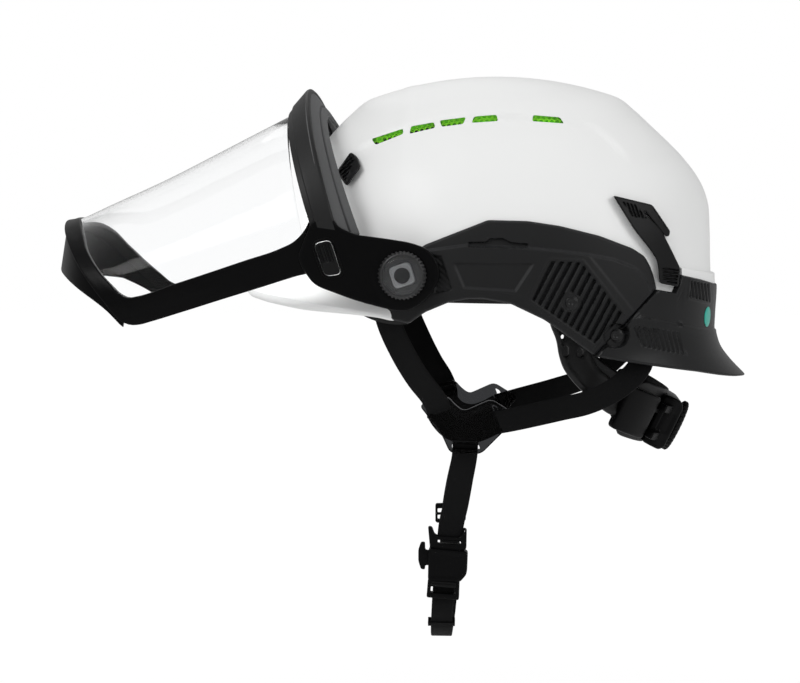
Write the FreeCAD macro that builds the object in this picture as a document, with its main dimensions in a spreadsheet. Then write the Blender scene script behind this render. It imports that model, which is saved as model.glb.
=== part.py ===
# Climbing-style industrial hard hat with a raised clear face shield.
# Row frame: origin on the mid-plane inside the shell at rim level, front of the hat along -Y,
# the wearer's left along +X, up along +Z. Every left piece has a mirrored right one.
import FreeCAD, Part
import math
import os
import Sketcher
from FreeCAD import Placement, Rotation, Vector

os.makedirs("parts", exist_ok=True)
doc = FreeCAD.newDocument("HardHat")

# ---------------------------------------------------------------- driving dimensions, mm and degrees
sheet = doc.addObject("Spreadsheet::Sheet", "Sizes")
drivingSizes = {
    # shell
    "frontReach": 119.0,       # origin to the forehead at rim level
    "rearReach": 136.5,        # origin to the nape at rim level
    "halfWidth": 109.0,        # origin to the side of the shell
    "crownHeight": 132.3,      # top of the crest
    "crestSideRadius": 110.0,  # crest curvature across the hat
    "crestLongRadius": 226.7,  # crest curvature along the hat
    "crestMiddle": 3.0,        # place of the crest's top along the hat
    "shellWall": 2.6,
    "brimReach": 152.0,        # origin to the brim's tip
    "brimLip": 2.4,
    "ventCount": 6,
    "ventHeight": 5.0,
    # liner
    "linerGap": 0.4,
    "linerThickness": 17.0,
    "honeycombThickness": 3.5,
    # outer covers
    "coverGap": 0.3,
    "coverWall": 3.2,
    "coverBorder": 1.9,        # thinner upper border of the side cover
    "ribRecess": 1.5,
    "ribPitch": 4.9,
    "ribWidth": 2.3,
    "clipWall": 4.2,
    "rivetRadius": 4.3,
    "rivetHeight": 2.2,
    "napeFlare": 156.5,        # origin to the tip of the nape skirt
    # visor
    "pivotY": -47.8,
    "pivotZ": 13.5,
    "armInner": 112.3,         # inner face of the visor arms
    "armThickness": 4.0,
    "spindleRadius": 4.5,
    "spindleClearance": 0.05,
    "knobRadius": 14.0,
    "knobDepth": 7.0,
    "knobNotches": 36,
    "capRadius": 11.0,
    "lensThickness": 2.0,
    "frameWall": 1.9,          # frame material on each face of the lens
    "browWall": 3.4,
    "buttonProud": 1.6,
    "buttonClearance": 0.15,
    # suspension
    "bandFront": 96.0,
    "bandRear": 101.0,
    "bandHalfWidth": 79.0,
    "bandWall": 2.0,
    "padThickness": 6.0,
    "napeRadius": 75.0,        # arc on which the size-adjusting racks run
    "ratchetTilt": 26.0,       # the knob's axis points this far below the horizontal
    "toothModule": 0.8,
    "pinionTeeth": 12,
    "rackWidth": 7.0,
    "rackThickness": 2.0,
    "rackClearance": 0.3,
    "dialRadius": 16.6,
    "dialDepth": 4.0,
    "dialNotches": 30,
    # chin strap
    "webWidth": 16.0,
    "webThickness": 1.6,
    "chinWebWidth": 13.0,
    "dividerThickness": 3.6,
}
for row, (alias, value) in enumerate(drivingSizes.items(), 1):
    sheet.set(f"A{row}", alias)
    sheet.set(f"B{row}", str(value))
    sheet.setAlias(f"B{row}", alias)
doc.recompute()


def size(alias):
    return float(sheet.get(alias))


front, rear, side, crown = (size(n) for n in ("frontReach", "rearReach", "halfWidth", "crownHeight"))
wall = size("shellWall")
nominal = {"front": 119.0, "rear": 136.5, "side": 109.0, "crown": 132.3}


def at(y, z):
    """A side-view point given on the nominal shell, stretched with the shell's reaches."""
    along = front / nominal["front"] if y < 0 else rear / nominal["rear"]
    return y * along, z * crown / nominal["crown"]


# ---------------------------------------------------------------- geometry helpers
def superRing(height, reachFront, reachRear, halfWidth, tilt=0.0):
    """Closed egg-shaped curve: a superellipse with its own front and rear reach, dipping by tilt per mm aft."""
    power = 2 / 2.2
    points = []
    count = 16
    for step in range(count):
        turn = 2 * math.pi * step / count
        c, s = math.cos(turn), math.sin(turn)
        y = (reachRear if c > 0 else reachFront) * math.copysign(abs(c) ** power, c)
        points.append(Vector(halfWidth * math.copysign(abs(s) ** power, s), y, height - tilt * (y + reachFront)))
    curve = Part.BSplineCurve()
    curve.interpolate(Points=points, Parameters=[k / count for k in range(count + 1)], PeriodicFlag=True)
    return Part.Wire(curve.toShape())


def stationLoft(stations, grow=0.0):
    """Solid through level rings (height, front, rear, side), its skin moved outward by grow."""
    rings = []
    last = len(stations) - 1
    for i, (height, *reaches) in enumerate(stations):
        below, above = stations[max(i - 1, 0)], stations[min(i + 1, last)]
        slopes = [(above[k] - below[k]) / (above[0] - below[0]) for k in (1, 2, 3)]
        mean = sum(slopes) / 3
        lift = -grow * mean / math.hypot(1, mean)
        if i == 0:
            lift = 0.0
        elif i == last:
            lift = grow
        grown = [r + grow * math.hypot(1, s) + s * lift for r, s in zip(reaches, slopes)]
        rings.append(superRing(height + lift, *grown))
    return Part.makeLoft(rings, True, False)


def outline(*runs):
    """Closed side-view face: a run of two points is a line, a longer one a smooth curve."""
    edges = []
    for run in runs:
        points = [Vector(0, *at(y, z)) for y, z in run]
        if len(points) == 2:
            edges.append(Part.makeLine(*points))
        else:
            curve = Part.BSplineCurve()
            curve.interpolate(points)
            edges.append(curve.toShape())
    return Part.Face(Part.Wire(Part.__sortEdges__(edges)))


def polygon(points):
    """Closed side-view polygon."""
    corners = list(points) + [points[0]]
    return outline(*[[a, b] for a, b in zip(corners, corners[1:])])


def across(face, low, high):
    """Extrude a side-view face along X from low to high."""
    moved = face.copy()
    moved.translate(Vector(low, 0, 0))
    return moved.extrude(Vector(high - low, 0, 0))


def rod(start, end, radius):
    axis = Vector(*end) - Vector(*start)
    return Part.makeCylinder(radius, axis.Length, Vector(*start), axis)


def mirrored(shape):
    return shape.mirror(Vector(0, 0, 0), Vector(1, 0, 0))


ownShapes = []


def addShape(label, shape):
    piece = doc.addObject("Part::Feature", label)
    stand = shape.Placement
    piece.Shape = shape
    piece.Placement = stand
    piece.Label = label
    ownShapes.append(piece)
    return piece


def addPair(name, shape):
    addShape("left_" + name, shape)
    addShape("right_" + name, mirrored(shape))


# ---------------------------------------------------------------- shell: dome, crest and brim
# rows: height, front reach, rear reach, half width, as shares of the crown height and the reaches
domeShares = [
    (-0.317, 0.885, 0.955, 0.955),
    (-0.151, 0.960, 0.985, 0.986),
    (0.000, 1.000, 1.000, 1.000),
    (0.151, 0.992, 0.995, 0.992),
    (0.302, 0.975, 0.991, 0.966),
    (0.416, 0.955, 0.982, 0.926),
    (0.499, 0.932, 0.953, 0.885),
    (0.590, 0.905, 0.895, 0.825),
    (0.680, 0.862, 0.809, 0.745),
    (0.771, 0.780, 0.716, 0.630),
    (0.831, 0.712, 0.656, 0.520),
]
# the raised crest keeps the full front and rear slopes above the shoulder
crestShares = [
    (0.499, 0.926, 0.946, 0.900),
    (0.590, 0.903, 0.892, 0.855),
    (0.680, 0.866, 0.813, 0.780),
    (0.771, 0.786, 0.721, 0.668),
    (0.873, 0.668, 0.616, 0.560),
    (1.040, 0.470, 0.440, 0.420),
]


def stations(shares):
    return [(h * crown, f * front, r * rear, w * side) for h, f, r, w in shares]


def dome(grow=0.0):
    return stationLoft(stations(domeShares), grow)


def crestPlan(inset=0.0):
    """Top-view outline of the crest, extruded upward from just above the shoulder."""
    half = [(-112, 48), (-86, 59.7), (-50, 66), (0, 68), (45, 65.5), (60, 61.5), (82, 70), (112, 84)]
    points = []
    for y, x in half:
        points.append((max(x * side / nominal["side"] - inset, 1), at(y, 0)[0]))
    points = [(x, y) for x, y in points] + [(-x, y) for x, y in reversed(points)]
    corners = [Vector(x, y, 0) for x, y in points]
    face = Part.Face(Part.makePolygon(corners + [corners[0]]))
    face.translate(Vector(0, 0, 0.56 * crown))
    return face.extrude(Vector(0, 0, crown))


def crestCrown(inset=0.0):
    """Torus whose outside is the doubly curved top of the crest."""
    across_, along_ = size("crestSideRadius"), size("crestLongRadius")
    centre = Vector(0, size("crestMiddle"), crown - along_)
    return Part.makeTorus(along_ - across_, across_ - inset, centre, Vector(1, 0, 0))


def crest(inset=0.0):
    block = stationLoft(stations(crestShares), -inset)
    return block.common(crestPlan(inset)).common(crestCrown(inset))


rimDip = 0.133  # the rim drops this much per mm towards the rear


def brim():
    """Flared front lip: a bell below the forehead less the same bell lowered, front half only."""
    reach = size("brimReach")
    bell = [(24, 113, 60, 104), (13, 119.5, 62, 105.5), (6.5, 133, 63, 106.5), (2.6, reach, 64, 107)]
    rings = [superRing(z, f * front / nominal["front"] if f < reach else f, r, w * side / nominal["side"], rimDip)
             for z, f, r, w in reversed(bell)]
    skin = Part.makeLoft(rings, True, False)
    lip = Part.Face(rings[0]).extrude(Vector(0, 0, -size("brimLip")))
    under = skin.copy()
    under.translate(Vector(0, 0, -size("brimLip")))
    frontHalf = Part.makeBox(4 * side, 2 * reach, 2 * crown, Vector(-2 * side, -2 * reach - 52, -crown))
    return skin.fuse(lip).cut(under).common(frontHalf)


rimLine = [(-170, -8), (-100, -4), (-76, -6.5), (-45, -10), (-36, -6), (-21, 1), (-8, 3.2), (5, 3), (16, -1),
           (33, -9), (45, -17), (60, -24), (100, -26), (170, -26)]


def belowRim(lift=0.0):
    """Everything under the lower rim, which arches over the ears."""
    curve = [(y, z + lift) for y, z in rimLine]
    face = outline(curve, [curve[-1], (170, -90)], [(170, -90), (-170, -90)], [(-170, -90), curve[0]])
    return across(face, -2 * side, 2 * side)


ventSpans = [(-68, -50, 94.2, 100.4), (-45, -30.5, 101.0, 103.6), (-26.5, -12.5, 104.0, 105.2),
             (-8, 7, 105.6, 106.0), (11, 24, 106.0, 105.6), (28.5, 45.5, 105.2, 103.6)]


def ventCutter():
    """Six slanted windows a side through the crest's flank."""
    half = size("ventHeight") / 2
    windows = []
    for number, (y0, y1, z0, z1) in enumerate(ventSpans[: int(size("ventCount"))]):
        lean = 1.6 if number % 2 else -1.6
        top0, top1 = (y0 + lean, z0 + half), (y1 + 1.2, z1 + half)
        low0, low1 = (y0, z0 - half), (y1 - 1.2 + lean, z1 - half)
        windows.append(across(polygon([low0, low1, top1, top0]), 0.5 * side, 0.8 * side))
    cutter = windows[0].multiFuse(windows[1:])
    return cutter.fuse(mirrored(cutter))


rivetSpots = [(48.2, -2.2), (74.3, -21.8)]
rivetBore = 0.6 * size("rivetRadius")
domeSkin = dome()
domeInside = dome(-wall)
shell = domeSkin.cut(domeInside)
shell = shell.fuse(crest().cut(domeInside)).fuse(brim().cut(domeInside))
shell = shell.cut(crest(wall)).cut(belowRim()).cut(ventCutter())
shell = shell.cut([rod((-2 * side, *at(*spot)), (2 * side, *at(*spot)), rivetBore) for spot in rivetSpots])
addShape("outer_shell", shell)


# ---------------------------------------------------------------- foam liner and honeycomb air panels
linerDrop = 4.0  # the foam stops this far above the shell's rim

linerOut = -(wall + size("linerGap"))
linerIn = linerOut - size("linerThickness")
liner = dome(linerOut).cut(dome(linerIn)).cut(belowRim(linerDrop))
airSlots = [across(polygon([(y, 60), (y + 9, 60), (y + 9, 130), (y, 130)]), -0.34 * side, 0.34 * side)
            for y in (-62, -24, 14, 52)]
spine = Part.makeBox(14, 4 * rear, 2 * crown, Vector(-7, -2 * rear, 0))
for slot in airSlots:
    liner = liner.cut(slot.cut(spine))
addShape("foam_liner", liner)

panelOut = wall + 0.5
panelIn = panelOut + size("honeycombThickness")
panelBox = Part.makeBox(side, 0.96 * (front + rear) / 2, 0.13 * crown, Vector(0.3 * side, at(-73, 0)[0], 0.715 * crown))
panel = crest(panelOut).cut(crestPlan(panelIn)).common(panelBox).cut(dome(linerOut + 0.1))
addPair("honeycomb_panel", panel)

# ---------------------------------------------------------------- side covers
coverFoot = size("coverGap")
coverTop = coverFoot + size("coverWall")
coverEdge = coverFoot + size("coverBorder")
innerSkin = dome(coverFoot)
outerSkin = dome(coverTop)
borderSkin = dome(coverEdge)
farOut = 2 * side

earArch = [(62.2, -33.7), (42.1, -18.6), (32.9, -12.2), (13.8, -3), (-1.5, -0.3), (-10.7, -0.3), (-21.6, -2.3),
           (-35.5, -8.2), (-45, -15.1)]
coverTopEdge = [(0.6, 44.9), (23.5, 44.3), (41.8, 41.5), (64.6, 35.8), (84, 28.4), (91.5, 23.5), (96, 15), (98.4, 4.8)]
coverFlap = [[(-45, -15.1), (-77, -8.8)], [(-77, -8.8), (-72, -1)], [(-72, -1), (-36.1, 30.5)],
             [(-36.1, 30.5), (0.6, 44.9)]]
seam = [(98.4, 4.8), (62.2, -33.7)]
coverArea = outline(coverTopEdge, seam, earArch, *coverFlap)
ridge = [(-36.1, 27.5), (-10.2, 31), (23.6, 29.2), (41.8, 27.5), (58.4, 25.3), (73.2, 22.4), (85.5, 17.5), (92, 11),
         (95.5, 3)]
panelArea = outline(ridge, [(95.5, 3), (110, -20)], [(110, -20), (40, -60)], [(40, -60), (-90, -40)],
                    [(-90, -40), (-80, 10)], [(-80, 10), (-36.1, 27.5)])

cover = borderSkin.common(across(coverArea, 0, farOut)).cut(innerSkin)
cover = cover.fuse(outerSkin.common(across(coverArea.common(panelArea), 0, farOut)).cut(innerSkin))

ribField = polygon([(36.5, 21.5), (54.4, 20.6), (78.6, -9.9), (62.1, -26.0), (26, -0.6)])
ribLean = 10.5  # how far a rib leans forward over the field's height
bars = []
for number in range(13):
    y = 22 + number * size("ribPitch")
    w = size("ribWidth")
    bars.append(across(polygon([(y, -30), (y + w, -30), (y + w + 2.7 * ribLean, 24), (y + 2.7 * ribLean, 24)]), 0, farOut))
grooves = across(ribField, 0, farOut)
for bar in bars:
    grooves = grooves.cut(bar)
cover = cover.cut(grooves.cut(dome(coverTop - size("ribRecess"))))

badge = polygon([(-19.3, 20.3), (28.2, 20.4), (16.2, 3.7), (-13.0, 6.5)])
badgeRecess = 0.7
cover = cover.cut(across(badge, 0, farOut).cut(dome(coverTop - badgeRecess)))
accessorySlot = outline([(-10.2, 29.0), (-10.2, 32.0)], [(-10.2, 32.0), (-2, 33.2), (6.7, 34.6), (14, 32), (23.6, 30.8)],
                        [(23.6, 30.8), (23.6, 27.9)], [(23.6, 27.9), (-10.2, 29.0)])
cover = cover.cut(across(accessorySlot, 0, farOut))
adapterSlot = polygon([(-32, 24.6), (-27.4, 24.3), (-19.9, 5.9), (-22.2, 4.2), (-32, 2.4)])
adapterRecess = 1.4
cover = cover.cut(across(adapterSlot, 0, farOut).cut(dome(coverTop - adapterRecess)))

rivetNotch = 2.4
pivotY, pivotZ = at(size("pivotY"), size("pivotZ"))
tabSpot = at(*rivetSpots[1])
tabRadius = size("rivetRadius") + rivetNotch
cover = cover.cut(rod((0, *tabSpot), (farOut, *tabSpot), tabRadius))
bossFace = size("armInner") - 4.8  # the visor adapter seats on this face
bossRadius = size("knobRadius") + 1.5
boss = rod((0.6 * side, pivotY, pivotZ), (bossFace, pivotY, pivotZ), bossRadius).cut(innerSkin)
cover = cover.fuse(boss)
rivetHole = rod((0, *at(*rivetSpots[0])), (farOut, *at(*rivetSpots[0])), rivetBore)
seat = rod((bossFace, pivotY, pivotZ), (farOut, pivotY, pivotZ), size("knobRadius") - 0.8)
cover = cover.cut([rivetHole, seat]).cut(shell)
addPair("side_cover", cover)

# ---------------------------------------------------------------- nape guard
guardArea = outline([(99, 4.6), (110.5, 2.2)], [(110.5, 2.2), (114.3, 12.4)], [(114.3, 12.4), (127, 9.4), (143, 4.2)],
                    [(143, 4.2), (143, -26)], [(143, -26), (80, -27)], [(80, -27), (66, -29.5)],
                    [(66, -29.5), (99, 4.6)])
seamGap = 0.4
clearSide = across(outline([(98.4 + seamGap, 4.8), (62.2 + seamGap, -33.7)], [(62.2 + seamGap, -33.7), (20, -80)],
                           [(20, -80), (0, 40)], [(0, 40), (98.4 + seamGap, 4.8)]), -farOut, farOut)
guard = outerSkin.common(across(guardArea, -farOut, farOut)).cut(innerSkin)

flare = size("napeFlare")
skirtRows = [(-2.5, 112, 135.4, 106.9), (-14.5, 112, 136.2, 106.8), (-22.5, 112, 139.2, 106.6),
             (-29.0, 112, 144.2, 106.4), (-39.0, 112, 154.2, 106.4)]
skirtTip = 0.045


def skirtSkin(grow):
    rings = []
    for z, f, r, w in reversed(skirtRows):
        reach = r + (flare - 156.5) * (r - 135.4) / 18.8
        rings.append(superRing(z * crown / nominal["crown"], f + grow, reach * rear / nominal["rear"] + grow,
                               w * side / nominal["side"] + grow, skirtTip))
    return Part.makeLoft(rings, True, False)


skirtArea = outline([(62.6, -33.6), (80, -26)], [(80, -26), (110, -19), (150, -19)], [(150, -19), (175, -60)],
                    [(175, -60), (170, -53)], [(170, -53), (156.5, -51.5), (140, -48.2), (125.3, -45), (88.6, -38.6),
                                               (62.6, -33.6)])
skirt = skirtSkin(coverTop - 1.2).cut(skirtSkin(0.0)).common(across(skirtArea, -farOut, farOut))
guard = guard.fuse(skirt).cut(innerSkin).cut(clearSide)
for sign in (-1, 1):
    tab = rod((0, *tabSpot), (sign * farOut, *tabSpot), tabRadius - seamGap).common(outerSkin).cut(innerSkin)
    guard = guard.fuse(tab).cut(rod((0, *tabSpot), (sign * farOut, *tabSpot), rivetBore))
emblemFace = Part.Face(Part.Wire(Part.Ellipse(Vector(0, 0, 0), 6.0, 2.3).toShape()))
emblemFace.Placement = Placement(Vector(30, 0, -14), Rotation(Vector(1, 0, 0), 90) * Rotation(Vector(0, 0, 1), 84))
emblem = emblemFace.extrude(Vector(0, 2 * rear, 0)).common(dome(coverTop + 0.5)).cut(dome(coverTop - 0.6))
addShape("guard_emblem", emblem)
addShape("nape_guard", guard.cut(emblem))

# ---------------------------------------------------------------- lamp-strap clips
clipSkin = dome(coverFoot + size("clipWall"))
rearClipMain = polygon([(73.3, 58.6), (82.7, 42.4), (94.9, 27.9), (98.9, 20), (100.3, 7.0), (110.1, 5.0), (112.2, 17.5),
                        (101.8, 35.4), (86.0, 53.4)])
rearClipLeg = polygon([(73.3, 58.6), (96.3, 53.4), (107.2, 38.6), (106.0, 35.6), (103.2, 36.6), (90.5, 52.4), (80, 54)])
clip = clipSkin.common(across(rearClipMain.fuse(rearClipLeg), 0, farOut)).cut(dome(coverEdge + 0.25))
foot = dome(coverEdge + 0.3).common(across(polygon([(78, 52), (86, 50), (96, 33), (90, 36)]), 0, farOut)).cut(innerSkin)
clip = clip.fuse(foot)
for number in range(7):
    z = 8.2 + 1.9 * number
    step = across(polygon([(101.0, z), (109.4, z - 1.2), (109.4, z - 0.3), (101.0, z + 0.9)]), 0, farOut)
    clip = clip.cut(step.cut(dome(coverFoot + size("clipWall") - 0.8)))
addPair("rear_lamp_clip", clip)

frontClip = polygon([(-90.5, 73), (-81.8, 84.7), (-77.6, 81.7), (-75.2, 75.8), (-83.6, 64.5)])
clip = clipSkin.common(across(frontClip, 0, farOut)).cut(innerSkin).cut(shell)
addPair("front_lamp_clip", clip)


# ---------------------------------------------------------------- parametric bodies: helpers
def newBody(label):
    body = doc.addObject("PartDesign::Body", label)
    body.Label = label
    return body


def newSketch(body, plane, lift=None):
    """Sketch on one of the body's own origin planes, raised along its normal by an expression."""
    sketch = body.newObject("Sketcher::SketchObject", body.Label + "_sketch")
    base = [o for o in body.Origin.OriginFeatures if o.Role == plane][0]
    sketch.AttachmentSupport = [(base, "")]
    sketch.MapMode = "FlatFace"
    if lift:
        sketch.setExpression("AttachmentOffset.Base.z", lift)
    return sketch


def bound(sketch, constraint, expression):
    index = sketch.addConstraint(constraint)
    sketch.setExpression(f"Constraints[{index}]", expression)


def value(expression):
    """Number of an expression of sheet cells, for placing sketch geometry near its constraint."""
    names = {alias: size(alias) for alias in drivingSizes}
    text = expression.replace("Sizes.", "")
    for alias in sorted(names, key=len, reverse=True):
        text = text.replace(alias, repr(names[alias]))
    probe = FreeCAD.Units.Quantity(text)
    return probe.Value


def addCircle(sketch, radius, x="0", y="0"):
    index = sketch.addGeometry(Part.Circle(Vector(value(x), value(y), 0), Vector(0, 0, 1), value(radius)))
    bound(sketch, Sketcher.Constraint("Radius", index, value(radius)), radius)
    bound(sketch, Sketcher.Constraint("DistanceX", -1, 1, index, 3, value(x)), x)
    bound(sketch, Sketcher.Constraint("DistanceY", -1, 1, index, 3, value(y)), y)


def addLoop(sketch, corners):
    """Closed polygon whose every corner is held by two expressions."""
    points = [Vector(value(x), value(y), 0) for x, y in corners]
    first = sketch.GeometryCount
    count = len(points)
    for k in range(count):
        sketch.addGeometry(Part.LineSegment(points[k], points[(k + 1) % count]))
    for k, (x, y) in enumerate(corners):
        sketch.addConstraint(Sketcher.Constraint("Coincident", first + k, 2, first + (k + 1) % count, 1))
        bound(sketch, Sketcher.Constraint("DistanceX", -1, 1, first + k, 1, points[k].x), x)
        bound(sketch, Sketcher.Constraint("DistanceY", -1, 1, first + k, 1, points[k].y), y)


def pad(body, sketch, length, midplane=False):
    feature = body.newObject("PartDesign::Pad", body.Label + "_pad")
    feature.Profile = sketch
    feature.Midplane = midplane
    feature.setExpression("Length", length)
    return feature


def pocket(body, sketch, length, reverse=False, midplane=False):
    before = solidVolume(body)
    feature = body.newObject("PartDesign::Pocket", body.Label + "_pocket")
    feature.Profile = sketch
    feature.Reversed = reverse
    feature.Midplane = midplane
    feature.setExpression("Length", length)
    if solidVolume(body) >= before - 1e-6:
        raise RuntimeError(f"a pocket of {body.Label} cut nothing")
    return feature


def solidVolume(body):
    doc.recompute()
    return body.Shape.Volume


def revolve(body, sketch, axis="V_Axis"):
    feature = body.newObject("PartDesign::Revolution", body.Label + "_turned")
    feature.Profile = sketch
    feature.ReferenceAxis = (sketch, [axis])
    feature.Angle = 360
    return feature


def spread(body, feature, countExpression, axisRole="Z_Axis"):
    """Polar pattern of a feature round one of the body's own axes."""
    pattern = body.newObject("PartDesign::PolarPattern", body.Label + "_pattern")
    pattern.Originals = [feature]
    pattern.Axis = ([o for o in body.Origin.OriginFeatures if o.Role == axisRole][0], [""])
    pattern.Angle = 360
    pattern.setExpression("Occurrences", countExpression)
    body.Tip = pattern
    return pattern


def turnedBody(label, profile):
    """Body turned about its own Z from (radius, height) corners."""
    body = newBody(label)
    sketch = newSketch(body, "XZ_Plane")
    addLoop(sketch, profile)
    revolve(body, sketch)
    return body


def faceOut(body, sign, x, y="Sizes.pivotY", z="Sizes.pivotZ"):
    """Stand a body's own Z outward along the row's X at the given point."""
    body.Placement = Placement(Vector(0, 0, 0), Rotation(Vector(0, 1, 0), 90 * sign))
    prefix = "" if sign > 0 else "-1 * "
    body.setExpression("Placement.Base.x", f"{prefix}({x})")
    body.setExpression("Placement.Base.y", y)
    body.setExpression("Placement.Base.z", z)


# ---------------------------------------------------------------- visor pivots: adapter, knob and cap on each side
spindleTop = "Sizes.armThickness + Sizes.knobDepth - 1.5"
for label, sign in (("left", 1), ("right", -1)):
    adapter = turnedBody(label + "_pivot_adapter", [
        ("0", "-4.8"), ("Sizes.knobRadius - 1", "-4.8"), ("Sizes.knobRadius - 1", "-1.2"),
        ("Sizes.knobRadius - 2.2", "-0.2"), ("Sizes.spindleRadius", "-0.2"), ("Sizes.spindleRadius", spindleTop),
        ("0", spindleTop)])
    faceOut(adapter, sign, "Sizes.armInner")
    knob = turnedBody(label + "_pivot_knob", [
        ("Sizes.spindleRadius + Sizes.spindleClearance", "0.8"), ("Sizes.knobRadius - 0.6", "0.8"),
        ("Sizes.knobRadius", "1.4"), ("Sizes.knobRadius", "Sizes.knobDepth - 2.2"),
        ("Sizes.capRadius + 0.9", "Sizes.knobDepth"), ("Sizes.capRadius", "Sizes.knobDepth"),
        ("Sizes.capRadius", "Sizes.knobDepth - 1.2"),
        ("Sizes.spindleRadius + Sizes.spindleClearance", "Sizes.knobDepth - 1.2")])
    notchSketch = newSketch(knob, "XY_Plane", "0.9")
    addCircle(notchSketch, "0.75", "Sizes.knobRadius + 0.25")
    notch = pocket(knob, notchSketch, "Sizes.knobDepth", reverse=True)
    spread(knob, notch, "Sizes.knobNotches")
    faceOut(knob, sign, "Sizes.armInner + Sizes.armThickness")
    cap = turnedBody(label + "_knob_cap", [
        ("0", "-1.1"), ("Sizes.capRadius - 0.1", "-1.1"), ("Sizes.capRadius - 0.1", "0.4"),
        ("Sizes.capRadius - 1.3", "1.2"), ("Sizes.capRadius - 4", "1.9"), ("0", "2.3")])
    faceOut(cap, sign, "Sizes.armInner + Sizes.armThickness + Sizes.knobDepth")

# ---------------------------------------------------------------- visor carrier: two arms joined by the brow band
armIn = size("armInner")
armOut = armIn + size("armThickness")


def halfRing(corner, centre, halfWidth, leg, thickness):
    """Closed strip along a half ellipse: corner and centre are side-view points, the legs run on past the ends."""
    base, top = Vector(0, *corner), Vector(0, *centre)
    depth = (top - base).Length
    up = (top - base).normalize()
    sideways = Vector(1, 0, 0)

    def bow(a, b, start, end):
        points = []
        for step in range(13):
            turn = start + (end - start) * step / 12
            points.append(base + sideways * (a * math.cos(turn)) + up * (b * math.sin(turn)))
        curve = Part.BSplineCurve()
        curve.interpolate(Points=points, Parameters=[k / 12 for k in range(13)])
        return curve.toShape(), points[0], points[-1]

    outer, outerRight, outerLeft = bow(halfWidth, depth, 0, math.pi)
    inner, innerLeft, innerRight = bow(halfWidth - thickness, depth - thickness, math.pi, 0)
    drop = up * -leg
    leftLeg = [outerLeft, outerLeft + drop, innerLeft + drop, innerLeft]
    rightLeg = [innerRight, innerRight + drop, outerRight + drop, outerRight]
    edges = [outer] + [Part.makeLine(p, q) for p, q in zip(leftLeg, leftLeg[1:])]
    edges += [inner] + [Part.makeLine(p, q) for p, q in zip(rightLeg, rightLeg[1:])]
    return Part.Wire(edges)


def bowed(sections):
    return Part.makeLoft([halfRing(*section) for section in sections], True, True)


armPoints = [(-86.6, 43.5), (-99.8, 43.5), (-107.9, 23.7), (-105.6, 17.5), (-98.8, 7.7), (-75.8, -0.8), (-59.1, -5.1)]
armTail = [(-59.1, -5.1), (-45.4, -7), (-32.2, 2.2), (-26.5, 12), (-28.2, 22.2), (-34, 29), (-43.7, 32.1), (-59.1, 35)]
armTop = [(-59.1, 35), (-75.1, 36.6), (-86.6, 43.5)]
armFace = outline(*[[a, b] for a, b in zip(armPoints, armPoints[1:])], armTail, armTop)
arm = across(armFace, armIn, armOut)
browWall = size("browWall")
browHalf = armOut - 0.2
brow = bowed([((-101, 44), (-122, 111), browHalf, 9, browWall), ((-86.5, 42), (-110.8, 124), browHalf, 6, browWall)])
carrier = brow.fuse([arm, mirrored(arm)])
buttonFace = [(-98.5, 31.2), (-89.3, 33.5), (-83.0, 14.1), (-92.2, 13.0)]
buttonSlit = size("buttonClearance")
pocketFace = polygon([(-98.5 - buttonSlit, 31.4), (-89.2, 33.7 + buttonSlit), (-82.8 + buttonSlit, 13.9),
                      (-92.3 - buttonSlit, 12.8 - buttonSlit)])
rimProud = 0.5
buttonRim = polygon([(-100.6, 32.6), (-88.0, 36.0), (-80.4, 12.6), (-93.4, 10.8)])
rim = across(buttonRim, armOut - 1, armOut + rimProud)
carrier = carrier.fuse([rim, mirrored(rim)])
boreRadius = size("spindleRadius") + size("spindleClearance")
for sign in (1, -1):
    carrier = carrier.cut(rod((0.8 * sign * armIn, pivotY, pivotZ), (sign * farOut, pivotY, pivotZ), boreRadius))
    carrier = carrier.cut(across(pocketFace, *sorted((0.8 * sign * armIn, sign * farOut))))
buttonStop = across(buttonRim, armIn - 1.2, armIn)
carrier = carrier.fuse([buttonStop, mirrored(buttonStop)])

buttonTravel = 1.2
buttonBase = armIn + buttonTravel + 0.2
button = across(polygon(buttonFace), buttonBase, armOut + size("buttonProud"))
for number in range(6):
    z = 15.2 + 2.9 * number
    groove = across(polygon([(-102, z + 0.9), (-80, z + 2.2), (-80, z + 3.5), (-102, z + 2.2)]), armOut + 0.9, farOut)
    button = button.cut(groove)
addPair("release_button", button)

# ---------------------------------------------------------------- face shield: lens in its perimeter frame
lensWall = size("lensThickness")
frameWall = size("frameWall")
browCorner, browCentre = (-104, 29), (-121.5, 108.5)
chinCorner, chinCentre = (-209, -9), (-262, 37)


def lensBody(outward, inward, legs, chinPast):
    """The lens's own wall, thickened by outward and inward; chinPast carries it beyond the chin edge."""
    halfBrow = armIn - 0.6 + outward
    halfChin = 89 + outward
    thickness = lensWall + outward + inward
    past = [c + (c - b) * chinPast for b, c in zip(browCorner, chinCorner)]
    pastTop = [c + (c - b) * chinPast for b, c in zip(browCentre, chinCentre)]
    grown = halfChin + (halfChin - halfBrow) * chinPast
    browEnd = (browCentre[0] - outward * 0.4, browCentre[1] + outward * 0.9)
    chinEnd = (pastTop[0] - outward * 0.7, pastTop[1] + outward * 0.7)
    return bowed([(browCorner, browEnd, halfBrow, legs, thickness), (past, chinEnd, grown, legs, thickness)])


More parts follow.
